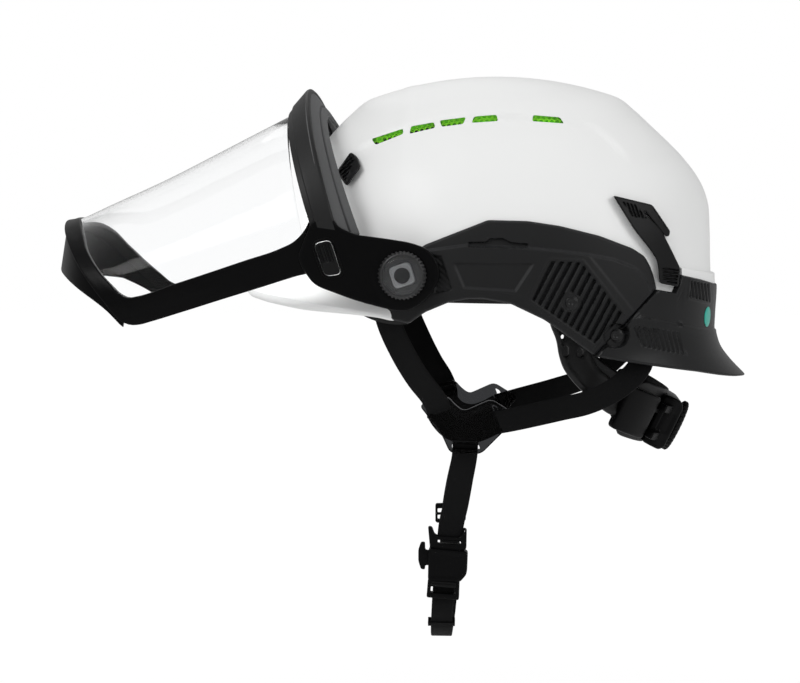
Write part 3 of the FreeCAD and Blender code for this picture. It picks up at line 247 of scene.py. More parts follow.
# Cubic through a table: Hermite pieces whose slopes are the table's own gradient, straight beyond the ends.
def through(table, x, column=1):
    table = np.asarray(table, float)
    xs, ys = table[:, 0], table[:, column]
    slopes = np.gradient(ys, xs)
    i = np.clip(np.searchsorted(xs, x) - 1, 0, len(xs) - 2)
    h = xs[i + 1] - xs[i]
    t = np.clip((x - xs[i]) / h, 0, 1)
    t2, t3 = t * t, t * t * t
    inside = ((2 * t3 - 3 * t2 + 1) * ys[i] + (t3 - 2 * t2 + t) * h * slopes[i]
              + (3 * t2 - 2 * t3) * ys[i + 1] + (t3 - t2) * h * slopes[i + 1])
    before = np.where(x < xs[0], (x - xs[0]) * slopes[0], 0)
    after = np.where(x > xs[-1], (x - xs[-1]) * slopes[-1], 0)
    past = before + after
    return inside + past


# Rounded path: a Catmull curve through the points, resampled to equal steps.
def smoothPath(points, count, closed=False):
    points = np.asarray(points, float)
    if closed:
        points = np.vstack([points, points[:1]])
    run = np.concatenate([[0], np.cumsum(np.linalg.norm(np.diff(points, axis=0), axis=1))])
    fine = np.linspace(0, run[-1], 12 * len(points))
    dense = np.stack([through(np.stack([run, points[:, k]], 1), fine) for k in range(points.shape[1])], 1)
    length = np.concatenate([[0], np.cumsum(np.linalg.norm(np.diff(dense, axis=0), axis=1))])
    steps = np.linspace(0, length[-1], count + (1 if closed else 0))
    even = np.stack([np.interp(steps, length, dense[:, k]) for k in range(points.shape[1])], 1)
    return even[:-1] if closed else even


def softMin(a, b, reach):
    blend = np.maximum(reach - np.abs(a - b), 0)
    return np.minimum(a, b) - blend * blend / (4 * reach)


def softMax(a, b, reach):
    return -softMin(-a, -b, reach)


def rise(x, low, high):
    t = np.clip((x - low) / (high - low), 0, 1)
    return t * t * (3 - 2 * t)


# Signed distance of side-view points to a closed polygon, positive inside.
def insideBy(points, polygon):
    a = np.asarray(polygon, float)
    b = np.roll(a, -1, axis=0)
    p = np.asarray(points, float)[:, None, :]
    ab = (b - a)[None]
    t = np.clip(((p - a[None]) * ab).sum(-1) / np.maximum((ab * ab).sum(-1), 1e-12), 0, 1)
    away = np.linalg.norm(p - (a[None] + t[..., None] * ab), axis=-1).min(1)
    y0, z0, y1, z1 = a[:, 0][None], a[:, 1][None], b[:, 0][None], b[:, 1][None]
    py, pz = p[..., 0], p[..., 1]
    crossing = ((z0 > pz) != (z1 > pz)) & (py < (y1 - y0) * (pz - z0) / np.where(z1 == z0, 1e-12,
            z1 - z0) + y0)
    return np.where(crossing.sum(1) % 2 == 1, away, -away)


# Polygon with its corners rounded by a quadratic curve and its long sides divided.
def softPolygon(corners, radius=1.0, step=3.0):
    corners = np.asarray(corners, float)
    before, after = np.roll(corners, 1, axis=0), np.roll(corners, -1, axis=0)
    rounded = []
    for corner, p, q in zip(corners, before, after):
        toP, toQ = p - corner, q - corner
        lengthP, lengthQ = np.linalg.norm(toP), np.linalg.norm(toQ)
        r = min(radius, 0.42 * lengthP, 0.42 * lengthQ)
        start, end = corner + toP / lengthP * r, corner + toQ / lengthQ * r
        t = np.linspace(0, 1, 5)[:, None]
        rounded.append((1 - t) ** 2 * start + 2 * t * (1 - t) * corner + t ** 2 * end)
    loop = np.vstack(rounded)
    pieces = []
    for a, b in zip(loop, np.roll(loop, -1, axis=0)):
        count = max(1, int(np.linalg.norm(b - a) // step))
        pieces.append(a + (b - a) * (np.arange(count) / count)[:, None])
    loop = np.vstack(pieces)
    keep = np.linalg.norm(loop - np.roll(loop, 1, axis=0), axis=1) > 1e-4
    return loop[keep]


def turnArea(loop):
    n = np.roll(loop, -1, axis=0)
    return 0.5 * np.sum(loop[:, 0] * n[:, 1] - n[:, 0] * loop[:, 1])


# Loop moved inward by a distance along the mean of its neighbours' normals.
def insetLoop(loop, distance):
    ahead = np.roll(loop, -1, axis=0) - loop
    ahead /= np.linalg.norm(ahead, axis=1)[:, None]
    behind = np.roll(ahead, 1, axis=0)
    normal = np.stack([-(ahead + behind)[:, 1], (ahead + behind)[:, 0]], 1)
    normal /= np.maximum(np.linalg.norm(normal, axis=1), 1e-9)[:, None]
    stretch = 1 / np.clip((normal * np.stack([-ahead[:, 1], ahead[:, 0]], 1)).sum(1), 0.6, 1)
    return loop + normal * (distance * stretch)[:, None]


# Plate: a side-view outline with holes, raised from low to high with quarter-round edges.
# lay(y, z, height) puts each point in space; the faces between the loops are filled by a Delaunay net.
def plate(outline, holes, low, high, edge, lay, spacing=None, roundLow=False):
    loops = [outline if turnArea(outline) > 0 else outline[::-1]]
    loops += [h if turnArea(h) < 0 else h[::-1] for h in holes]
    turns = np.linspace(0, math.pi / 2, 5)
    levels = [(edge * (1 - math.cos(t)), high - edge * (1 - math.sin(t))) for t in turns]
    if roundLow:
        levels = [(edge * (1 - math.cos(t)), low + edge * (1 - math.sin(t))) for t in turns[::-1]] + levels
    else:
        levels = [(0.0, low)] + levels
    points, faces, wearAndHighlight = [], [], []
    count = 0
    lows, highs = [], []
    for loop in loops:
        n = len(loop)
        for inset, height in levels:
            moved = insetLoop(loop, inset)
            points.append(np.column_stack([moved, np.full(n, height)]))
            # the top's rounded edge rows are marked to be paler: partly edge wear, partly a painted highlight
            # where the edge catches light
            wornAndHighlit = abs(inset - edge * 0.3) < edge * 0.31 and height > low + 0.01
            wearAndHighlight.append(np.full(n, 1.0 if wornAndHighlit else 0.0))
        faces.append(gridFaces(len(levels), n, closeCols=True, first=count))
        lows.append(np.arange(count, count + n))
        highs.append(np.arange(count + (len(levels) - 1) * n, count + len(levels) * n))
        count += len(levels) * n
    points = np.vstack(points)
    triangles = []
    for ends in (lows, highs):
        rims = [points[e][:, :2] for e in ends]
        level = points[ends[0][0], 2]
        extra = np.zeros((0, 2))
        if spacing:
            lo, hi = rims[0].min(0), rims[0].max(0)
            net = np.stack(np.meshgrid(np.arange(lo[0], hi[0], spacing), np.arange(lo[1], hi[1], spacing)),
                           -1).reshape(-1, 2)
            clear = insideBy(net, rims[0]) > spacing * 0.4
            for rim in rims[1:]:
                clear &= insideBy(net, rim) < -spacing * 0.4
            extra = net[clear]
        index = np.concatenate(ends + [np.arange(count, count + len(extra))])
        flat = [Vector(p) for p in np.vstack(rims + [extra])]
        edges, at = [], 0
        for rim in rims:
            n = len(rim)
            edges += [(at + k, at + (k + 1) % n) for k in range(n)]
            at += n
        made = delaunay_2d_cdt(flat, edges, [], 0, 1e-7)
        origin = np.array([o[0] if o else -1 for o in made[3]])
        tri = np.array([f for f in made[2] if len(f) == 3])
        middle = np.array([[v.x, v.y] for v in made[0]])[tri].mean(1)
        keep = insideBy(middle, rims[0]) > 0
        for rim in rims[1:]:
            keep &= insideBy(middle, rim) < 0
        tri = origin[tri[keep]]
        triangles.append(index[tri[(tri >= 0).all(1)]])
        points = np.vstack([points, np.column_stack([extra, np.full(len(extra), level)])])
        wearAndHighlight.append(np.zeros(len(extra)))
        count += len(extra)
    faces += triangles
    return lay(points[:, 0], points[:, 1], points[:, 2]), faces, np.concatenate(wearAndHighlight)


# Several meshes as one: their face numbers are shifted by the points before them.
def joined(parts):
    points, faces, count = [], [], 0
    for p, f, *_ in parts:
        p = np.asarray(p).reshape(-1, 3)
        points.append(p)
        faces += [np.asarray(k) + count for k in f]
        count += len(p)
    return np.vstack(points), faces


# Band: a rounded rectangle carried between two edge curves, its thickness along the given normals.
def band(edgeA, edgeB, normal, thickness, edge, closed=False, crown=0.0):
    a, b = np.asarray(edgeA, float), np.asarray(edgeB, float)
    n = np.asarray(normal, float)
    n = n / np.linalg.norm(n, axis=1)[:, None]
    width = np.linalg.norm(b - a, axis=1)
    over = (b - a) / width[:, None]
    thickness = np.broadcast_to(thickness, width.shape)
    r = min(edge, 0.49 * float(thickness.min()), 0.45 * float(width.min()))
    section = []
    for sx, sy, start in ((1, -1, -90), (1, 1, 0), (-1, 1, 90), (-1, -1, 180)):
        for turn in np.radians(start + np.linspace(0, 90, 4)):
            section.append((sx, sy, r * math.cos(turn), r * math.sin(turn)))
        if sx == 1 and sy == 1:
            section += [(0.5, 1, 0, r), (0, 1, 0, r), (-0.5, 1, 0, r)]
        if sx == -1 and sy == -1:
            section += [(-0.5, -1, 0, -r), (0, -1, 0, -r), (0.5, -1, 0, -r)]
    sx, sy, ox, oy = np.array(section).T
    across = width[:, None] / 2 + sx[None] * (width[:, None] / 2 - r) + ox[None]
    bow = crown * (1 - sx ** 2)
    lift = sy[None] * (thickness[:, None] / 2 - r) + oy[None] + bow[None] * np.sign(sy)[None]
    points = a[:, None] + over[:, None] * across[..., None] + n[:, None] * lift[..., None]
    rows, cols = points.shape[:2]
    faces = [gridFaces(rows, cols, closeRows=closed, closeCols=True)]
    flat = points.reshape(-1, 3)
    if not closed:
        for row in (0, rows - 1):
            ring = row * cols + np.arange(cols)
            flat = np.vstack([flat, points[row].mean(0)])
            hub = np.full(cols, len(flat) - 1)
            faces.append(np.stack([ring, np.roll(ring, -1), hub], 1))
    middle = 0.5 * (a + b)
    along = np.concatenate([[0], np.cumsum(np.linalg.norm(np.diff(middle, axis=0), axis=1))])
    uv = np.stack([across, np.broadcast_to(along[:, None], across.shape)], -1).reshape(-1, 2)
    uv = np.vstack([uv, np.zeros((len(flat) - len(uv), 2))]) * mm
    return flat, faces, uv


# Turned piece: a (radius, height) profile spun about an axis, its radius cut by notches round the rim.
def turned(profile, centre, axis, up, sides=96, notches=0, depth=0.0, notchRows=None, sharpness=3.0):
    profile = np.asarray(profile, float)
    axis = np.asarray(axis, float) / np.linalg.norm(axis)
    first = np.cross(up, axis)
    first /= np.linalg.norm(first)
    second = np.cross(axis, first)
    turn = np.linspace(0, 2 * math.pi, sides, endpoint=False)
    cut = np.zeros(sides)
    if notches:
        cut = depth * np.abs(np.cos(turn * notches / 2)) ** sharpness
    use = np.ones(len(profile)) if notchRows is None else np.asarray(notchRows, float)
    radius = profile[:, :1] - use[:, None] * cut[None]
    ring = first[None] * np.cos(turn)[:, None] + second[None] * np.sin(turn)[:, None]
    points = np.asarray(centre) + radius[..., None] * ring[None] + axis * profile[:, 1][:, None, None]
    return points.reshape(-1, 3), [gridFaces(len(profile), sides, closeCols=True)]


# Profile with rounded corners for a turned piece.
def softProfile(corners, radius=0.4):
    corners = np.asarray(corners, float)
    out = [corners[:1]]
    for p, c, q in zip(corners[:-2], corners[1:-1], corners[2:]):
        toP, toQ = p - c, q - c
        lp, lq = np.linalg.norm(toP), np.linalg.norm(toQ)
        r = min(radius, 0.45 * lp, 0.45 * lq)
        start, end = c + toP / lp * r, c + toQ / lq * r
        t = np.linspace(0, 1, 4)[:, None]
        out.append((1 - t) ** 2 * start + 2 * t * (1 - t) * c + t ** 2 * end)
    out.append(corners[-1:])
    return np.vstack(out)

# materials

finish = {
    "shellWhite": (0.86, 0.865, 0.86),
    "charcoal": (0.0078, 0.008, 0.0084),
    "darkGrey": (0.0062, 0.0063, 0.0066),
    "black": (0.0018, 0.0018, 0.002),
    "lime": (0.30, 0.95, 0.025),
    "teal": (0.035, 0.42, 0.33),
    "foam": (0.035, 0.036, 0.038),
    "webbing": (0.0036, 0.0037, 0.004),
    "pad": (0.016, 0.016, 0.018),
    "rubber": (0.075, 0.076, 0.078),
}


def link(tree, source, target):
    tree.links.new(source, target)


def addNode(tree, kind, **settings):
    node = tree.nodes.new(kind)
    for key, setting in settings.items():
        setattr(node, key, setting)
    return node


def newGroup(name, inputs, outputs):
    group = bpy.data.node_groups.new(name, "ShaderNodeTree")
    kinds = {"value": "NodeSocketFloat", "color": "NodeSocketColor", "vector": "NodeSocketVector"}
    for label, kind, default in inputs:
        socket = group.interface.new_socket(label, in_out="INPUT", socket_type=kinds[kind])
        socket.default_value = default
    for label, kind in outputs:
        group.interface.new_socket(label, in_out="OUTPUT", socket_type=kinds[kind])
    return group, group.nodes.new("NodeGroupInput"), group.nodes.new("NodeGroupOutput")


def mathNode(tree, operation, a, b=None):
    node = addNode(tree, "ShaderNodeMath", operation=operation)
    for k, value in enumerate((a, b)):
        if value is None:
            continue
        if isinstance(value, (int, float)):
            node.inputs[k].default_value = value
        else:
            link(tree, value, node.inputs[k])
    return node.outputs[0]


def noise(tree, scale, detail=3.0, roughness=0.55, vector=None):
    node = addNode(tree, "ShaderNodeTexNoise")
    node.inputs["Detail"].default_value = detail
    node.inputs["Roughness"].default_value = roughness
    if isinstance(scale, (int, float)):
        node.inputs["Scale"].default_value = scale
    else:
        link(tree, scale, node.inputs["Scale"])
    if vector is not None:
        link(tree, vector, node.inputs["Vector"])
    return node.outputs["Fac"]


# Colour times a factor.
def shaded(tree, color, factor):
    node = addNode(tree, "ShaderNodeMix", data_type="RGBA", blend_type="MULTIPLY")
    node.inputs[0].default_value = 1.0
    link(tree, color, node.inputs[6])
    combine = addNode(tree, "ShaderNodeCombineColor")
    for k in range(3):
        link(tree, factor, combine.inputs[k])
    link(tree, combine.outputs[0], node.inputs[7])
    return node.outputs[2]


# moulded plastic: cloudy tone, fine spark-eroded grain, faint handling marks, and paler edges and lines that
# are partly wear and partly painted highlight
def buildMoulded():
    group, source, sink = newGroup(
        "mouldedSkin",
        [("Color", "color", (0.5, 0.5, 0.5, 1)), ("Mottle", "value", 0.05), ("Grain", "value", 2600.0),
         ("Roughness", "value", 0.5), ("Marks", "value", 0.06), ("Edge", "value", 0.3)],
        [("Color", "color"), ("Roughness", "value"), ("Height", "value")])
    place = addNode(group, "ShaderNodeTexCoord").outputs["Object"]
    cloud = noise(group, 22.0, 4.0, 0.6, place)
    tone = mathNode(group, "MULTIPLY_ADD", mathNode(group, "SUBTRACT", cloud, 0.5), source.outputs["Mottle"])
    group.nodes[-1].inputs[2].default_value = 1.0
    stretch = addNode(group, "ShaderNodeMapping")
    stretch.inputs["Rotation"].default_value = (0.4, 0.9, 0.3)
    stretch.inputs["Scale"].default_value = (60, 900, 900)
    link(group, place, stretch.inputs["Vector"])
    scuff = mathNode(group, "POWER", noise(group, 1.0, 2.0, 0.5, stretch.outputs["Vector"]), 3.0)
    grain = noise(group, source.outputs["Grain"], 2.0, 0.5, place)
    # the attribute read here lightens the colour: partly edge wear, partly painted highlight on edges and lit
    # ridge lines
    wearAndHighlightAttr = addNode(group, "ShaderNodeAttribute", attribute_name="wearAndHighlight")
    wornAndHighlit = mathNode(group, "MULTIPLY", wearAndHighlightAttr.outputs["Fac"], mathNode(group, "MULTIPLY",
                                                                    noise(group, 160.0, 4.0, 0.7, place),
                                                                    source.outputs["Edge"]))
    light = mathNode(group, "ADD", tone, wornAndHighlit)
    link(group, shaded(group, source.outputs["Color"], light), sink.inputs["Color"])
    marks = mathNode(group, "MULTIPLY", mathNode(group, "ADD", mathNode(group, "SUBTRACT", cloud, 0.5),
                                                 scuff),
                     source.outputs["Marks"])
    link(group, mathNode(group, "ADD", source.outputs["Roughness"], marks), sink.inputs["Roughness"])
    link(group, grain, sink.inputs["Height"])
    return group


# plain woven webbing: two crossing rows of rounded yarns along the strap's own lengths
def buildWeave():
    group, source, sink = newGroup(
        "strapWeave",
        [("Color", "color", (0.1, 0.1, 0.1, 1)), ("Yarn", "value", 0.0011), ("Pick", "value", 0.0009)],
        [("Color", "color"), ("Height", "value")])
    coords = addNode(group, "ShaderNodeUVMap", uv_map="surface").outputs[0]
    apart = addNode(group, "ShaderNodeSeparateXYZ")
    link(group, coords, apart.inputs[0])
    u = mathNode(group, "DIVIDE", apart.outputs["X"], source.outputs["Yarn"])
    v = mathNode(group, "DIVIDE", apart.outputs["Y"], source.outputs["Pick"])
    over = mathNode(group, "SINE", mathNode(group, "MULTIPLY", u, 2 * math.pi))
    step = mathNode(group, "MULTIPLY", mathNode(group, "FLOOR", mathNode(group, "MULTIPLY", u, 2.0)), 0.5)
    rib = mathNode(group, "SINE", mathNode(group, "MULTIPLY", mathNode(group, "ADD", v, step), 2 * math.pi))
    height = mathNode(group, "ADD", mathNode(group, "ABSOLUTE", over), mathNode(group, "MULTIPLY", rib, 0.7))
    fuzz = noise(group, 2400.0, 3.0, 0.6, addNode(group, "ShaderNodeTexCoord").outputs["Object"])
    total = mathNode(group, "ADD", height, mathNode(group, "MULTIPLY", fuzz, 0.5))
    # darker where the yarn height is low: painted shade in the gaps between the yarns, with a random fuzz
    # tone on top
    tone = mathNode(group, "MULTIPLY_ADD", total, 0.42)
    group.nodes[-1].inputs[2].default_value = 0.62
    link(group, shaded(group, source.outputs["Color"], tone), sink.inputs["Color"])
    link(group, total, sink.inputs["Height"])
    return group


# closed cells, for bead foam and for brushed padding: rounded Voronoi beads under a fine nap
def buildBeads():
    group, source, sink = newGroup(
        "beadSkin",
        [("Color", "color", (0.1, 0.1, 0.1, 1)), ("Scale", "value", 400.0), ("Nap", "value", 3000.0)],
        [("Color", "color"), ("Height", "value")])
    place = addNode(group, "ShaderNodeTexCoord").outputs["Object"]
    beads = addNode(group, "ShaderNodeTexVoronoi")
    link(group, place, beads.inputs["Vector"])
    link(group, source.outputs["Scale"], beads.inputs["Scale"])
    dome = mathNode(group, "SUBTRACT", 1.0, beads.outputs["Distance"])
    nap = noise(group, source.outputs["Nap"], 3.0, 0.6, place)
    total = mathNode(group, "ADD", dome, mathNode(group, "MULTIPLY", nap, 0.4))
    # darker towards each bead's border: painted shade in the creases between beads, with a random nap tone
    tone = mathNode(group, "MULTIPLY_ADD", total, 0.7)
    group.nodes[-1].inputs[2].default_value = 0.35
    link(group, shaded(group, source.outputs["Color"], tone), sink.inputs["Color"])
    link(group, total, sink.inputs["Height"])
    return group


mouldedSkin, strapWeave, beadSkin = buildMoulded(), buildWeave(), buildBeads()


def startMaterial(name):
    material = bpy.data.materials.new(name)
    material.use_nodes = True
    tree = material.node_tree
    return material, tree, tree.nodes["Principled BSDF"]


def useGroup(tree, group, values):
    node = addNode(tree, "ShaderNodeGroup", node_tree=group)
    for label, value in values.items():
        node.inputs[label].default_value = value
    return node


def bumped(tree, shader, height, strength, distance):
    bump = addNode(tree, "ShaderNodeBump")
    bump.inputs["Strength"].default_value = strength
    bump.inputs["Distance"].default_value = distance
    link(tree, height, bump.inputs["Height"])
    link(tree, bump.outputs["Normal"], shader.inputs["Normal"])


def moulded(name, color, roughness=0.5, mottle=0.08, grain=2600.0, bump=0.25, marks=0.08, edge=0.35, coat=0.0,
            specular=0.5):
    material, tree, shader = startMaterial(name)
    node = useGroup(tree, mouldedSkin, {"Color": (*color, 1), "Mottle": mottle, "Grain": grain,
                                        "Roughness": roughness, "Marks": marks, "Edge": edge})
    link(tree, node.outputs["Color"], shader.inputs["Base Color"])
    link(tree, node.outputs["Roughness"], shader.inputs["Roughness"])
    shader.inputs["Coat Weight"].default_value = coat
    shader.inputs["Coat Roughness"].default_value = 0.12
    shader.inputs["Specular IOR Level"].default_value = specular
    bumped(tree, shader, node.outputs["Height"], bump, 0.00012)
    return material


def woven(name, color, yarn=0.0011, pick=0.0009):
    material, tree, shader = startMaterial(name)
    node = useGroup(tree, strapWeave, {"Color": (*color, 1), "Yarn": yarn, "Pick": pick})
    link(tree, node.outputs["Color"], shader.inputs["Base Color"])
    shader.inputs["Roughness"].default_value = 0.82
    shader.inputs["Sheen Weight"].default_value = 0.03
    shader.inputs["Specular IOR Level"].default_value = 0.12
    bumped(tree, shader, node.outputs["Height"], 0.55, 0.0003)
    return material


def beaded(name, color, scale, nap, roughness, bump, sheen):
    material, tree, shader = startMaterial(name)
    node = useGroup(tree, beadSkin, {"Color": (*color, 1), "Scale": scale, "Nap": nap})
    link(tree, node.outputs["Color"], shader.inputs["Base Color"])
    shader.inputs["Roughness"].default_value = roughness
    shader.inputs["Sheen Weight"].default_value = sheen
    shader.inputs["Specular IOR Level"].default_value = 0.3
    bumped(tree, shader, node.outputs["Height"], bump, 0.0004)
    return material


# Clear sheet: glass that lets lamps through, so it throws only a faint shadow.
def clearSheet(name, tint, roughness, shade, haze=0.0):
    material, tree, shader = startMaterial(name)
    shader.inputs["Base Color"].default_value = (*tint, 1)
    shader.inputs["Transmission Weight"].default_value = 1.0
    shader.inputs["IOR"].default_value = 1.16
    place = addNode(tree, "ShaderNodeTexCoord").outputs["Object"]
    smear = mathNode(tree, "MULTIPLY", noise(tree, 35.0, 4.0, 0.6, place), haze)
    rough = mathNode(tree, "ADD", smear, roughness)
    link(tree, rough, shader.inputs["Roughness"])
    rays = addNode(tree, "ShaderNodeLightPath")
    through = addNode(tree, "ShaderNodeBsdfTransparent")
    through.inputs["Color"].default_value = (shade, shade, shade, 1)
    mix = addNode(tree, "ShaderNodeMixShader")
    link(tree, rays.outputs["Is Shadow Ray"], mix.inputs[0])
    link(tree, shader.outputs[0], mix.inputs[1])
    link(tree, through.outputs[0], mix.inputs[2])
    link(tree, mix.outputs[0], tree.nodes["Material Output"].inputs["Surface"])
    return material


shellPlastic = moulded("shellPlastic", finish["shellWhite"], roughness=0.44, mottle=0.025, grain=1900,
                       bump=0.08,
                       marks=0.06, edge=0.02, coat=0.06, specular=0.35)
# the cover's strong Edge value makes its painted highlight lines and worn edges much paler
coverPlastic = moulded("coverPlastic", finish["charcoal"], roughness=0.50, mottle=0.18, grain=2400, bump=0.34,
                       marks=0.12, edge=2.6, specular=0.22)
guardPlastic = moulded("guardPlastic", finish["charcoal"], roughness=0.36, mottle=0.18, grain=2400, bump=0.2,
                       marks=0.1, edge=0.9, specular=0.22)
visorPlastic = moulded("visorPlastic", finish["black"], roughness=0.34, mottle=0.15, grain=2600, bump=0.14,
                       marks=0.08, edge=0.8, specular=0.07)
bandPlastic = moulded("bandPlastic", finish["darkGrey"], roughness=0.50, mottle=0.15, grain=2200, bump=0.3,
                      marks=0.1, edge=0.6, specular=0.3)
knobPlastic = moulded("knobPlastic", (0.012, 0.0122, 0.0126), roughness=0.34, mottle=0.12, grain=3000,
                      bump=0.2,
                      marks=0.16, edge=1.2)
drivePlastic = moulded("drivePlastic", (0.17, 0.173, 0.176), roughness=0.3, mottle=0.3, grain=3000, bump=0.2,
                       marks=0.2, edge=0.8)
hiddenPlastic = moulded("hiddenPlastic", finish["darkGrey"], roughness=0.52, mottle=0.12, grain=2200,
                        bump=0.3,
                        specular=0.25)
blackPlastic = moulded("blackPlastic", finish["black"], roughness=0.36, mottle=0.12, grain=2600, bump=0.16,
                       specular=0.08)
rivetPlastic = moulded("rivetPlastic", (0.004, 0.0041, 0.0044), roughness=0.3, mottle=0.12, grain=3000,
                       bump=0.1,
                       marks=0.08, edge=1.0, specular=0.35)
clipPlastic = moulded("clipPlastic", (0.0045, 0.0046, 0.0049), roughness=0.42, mottle=0.12, grain=2600,
                      bump=0.2,
                      marks=0.08, edge=0.8, specular=0.16)
limePlastic = moulded("limePlastic", finish["lime"], roughness=0.36, mottle=0.45, grain=2600, bump=0.2,
                      edge=0.2)
tealInlay = moulded("tealInlay", finish["teal"], roughness=0.3, mottle=0.08, grain=3000, bump=0.08, edge=0.2)
sealRubber = moulded("sealRubber", finish["rubber"], roughness=0.62, mottle=0.12, grain=1500, bump=0.3,
                     edge=0.3)
webCloth = woven("webCloth", finish["webbing"])
foamBeads = beaded("foamBeads", finish["foam"], 330.0, 2600.0, 0.85, 0.6, 0.0)
padCloth = beaded("padCloth", finish["pad"], 1400.0, 5200.0, 0.95, 0.5, 0.25)
clearLens = clearSheet("clearLens", (0.985, 0.988, 0.99), 0.012, 0.97, 0.012)
clearCap = clearSheet("clearCap", (0.9, 0.905, 0.91), 0.05, 0.85, 0.05)
smokeSheet = clearSheet("smokeSheet", (0.035, 0.036, 0.038), 0.2, 0.25, 0.1)
print("materials are ready")


def repaint(node, material):
    piece = nodes[node]
    if piece.material_slots:
        for slotIn in piece.material_slots:
            slotIn.material = material
    else:
        piece.data.materials.append(material)

# the helmet's own form, in millimetres: rows are height, front reach, rear reach, half width

shape = {
    "front": 119.0,
    "rear": 136.5,
    "side": 109.0,
    "crown": 132.3,
    "power": 2.2,
    "wall": 2.6,
    "crestSideRadius": 110.0,
    "crestLongRadius": 226.7,
    "crestMiddle": 3.0,
    "crestFoot": 75.0,
    "flankLean": 0.03,
    "flankFillet": 1.8,      # top edge of the crest's flank
    "breakFillet": 2.2,     # front and rear breaks of the crest
    "footFillet": 1.8,       # where the flank meets the dome
    "brimReach": 152.0,
    "rimDip": 0.133,
    "columns": 221,          # over one half, front to rear
    "rows": 150,
    "innerRows": 40,
}

reachScale = np.array([shape["crown"], shape["front"], shape["rear"], shape["side"]])
domeTable = reachScale * np.array([
    (-0.317, 0.885, 0.955, 0.955), (-0.151, 0.960, 0.985, 0.986), (0.000, 1.000, 1.000, 1.000),
    (0.151, 0.992, 0.995, 0.992), (0.302, 0.975, 0.991, 0.966), (0.416, 0.955, 0.982, 0.926),
    (0.499, 0.932, 0.953, 0.885), (0.590, 0.905, 0.895, 0.825), (0.680, 0.862, 0.809, 0.745),
    (0.771, 0.780, 0.716, 0.630), (0.831, 0.712, 0.656, 0.520)])
crestTable = reachScale * np.array([
    (0.499, 0.926, 0.946, 0.900), (0.590, 0.903, 0.892, 0.855), (0.680, 0.866, 0.813, 0.780),
    (0.771, 0.786, 0.721, 0.668), (0.873, 0.668, 0.616, 0.560), (1.040, 0.470, 0.440, 0.420)])
crestHalf = np.array([(-112, 48), (-86, 59.7), (-50, 66), (0, 68), (45, 65.5), (60, 61.5), (82, 70), (112,
        84)], float)
bellTable = np.array([(2.6, shape["brimReach"], 64, 107), (6.5, 133, 63, 106.5), (13, 119.5, 62, 105.5),
                      (24, 113, 60, 104)], float)
rimTable = np.array([(-170, -8), (-100, -4), (-76, -6.5), (-45, -10), (-36, -6), (-21, 1), (-8, 3.2), (5,
        3), (16, -1),
                     (33, -9), (45, -17), (60, -24), (100, -26), (170, -26)], float)


# Distance outside a stack of egg-shaped rings: the superellipse ratio less one, times the mean reach,
# over the slope.
def ringField(table, p, height=None):
    x, y, z = np.abs(p[..., 0]), p[..., 1], p[..., 2]
    h = z if height is None else height
    front, back, half = (through(table, h, k) for k in (1, 2, 3))
    along = np.where(y < 0, front, back)
    ratio = ((x / half) ** shape["power"] + (np.abs(y) / along) ** shape["power"]) ** (1 / shape["power"])
    radius = np.hypot(x, y) / np.maximum(ratio, 1e-6)
    above = np.where(y < 0, through(table, h + 0.5, 1), through(table, h + 0.5, 2))
    slope = (above - along) / 0.5
    return (ratio - 1) * radius / np.hypot(1, slope)


# The crest: rings, a plan outline and a torus top, met with soft maxima.
def crestField(p):
    x, y, z = np.abs(p[..., 0]), p[..., 1], p[..., 2]
    rings = ringField(crestTable, p)
    plan = x - through(crestHalf, y) - shape["flankLean"] * (100 - z)
    small, large = shape["crestSideRadius"], shape["crestLongRadius"]
    arc = np.hypot(y - shape["crestMiddle"], z - shape["crown"] + large) - (large - small)
    top = np.hypot(arc, x) - small
    body = softMax(rings, top, shape["breakFillet"])
    body = softMax(body, plan, shape["flankFillet"])
    return softMax(body, shape["crestFoot"] - z, 12.0)


# The whole outside: dome and crest joined softly, and the brim's bell in front.
def shellField(p):
    y, z = p[..., 1], p[..., 2]
    dome = softMax(ringField(domeTable, p), z - 112, 4.0)
    body = softMin(dome, crestField(p), shape["footFillet"])
    lifted = z + shape["rimDip"] * (y + shape["brimReach"])
    bell = ringField(bellTable, p, np.maximum(lifted, 2.6))
    bell = softMax(bell, y + 52, 8.0)
    return softMin(body, bell, 9.0)


centre = np.array([0.0, 8.0, 8.0])


# Far end of a ray from the middle of the helmet: stepped outward, then halved to the surface.
def castTo(directions, level):
    shapeOf = directions.shape[:-1]
    low = np.full(shapeOf, 60.0)
    for reach in np.linspace(66, 174, 19):
        inside = shellField(centre + directions * reach) < level
        low = np.where(inside, reach, low)
    high = low + 6.0
    for _ in range(14):
        middle = (low + high) / 2
        inside = shellField(centre + directions * middle[..., None]) < level
        low, high = np.where(inside, middle, low), np.where(inside, high, middle)
    return low


def rays(turn, lift):
    return np.stack([np.sin(turn) * np.cos(lift), -np.cos(turn) * np.cos(lift), np.sin(lift)], -1)


# The lowest height of the shell at a place along the helmet: the ear arch, or the brim's dipping tip.
def footHeight(y):
    brim = 2.3 - shape["rimDip"] * (y + shape["brimReach"])
    return np.where(y < -45, brim + (through(rimTable, y) - brim) * rise(y, -74, -48), through(rimTable, y))


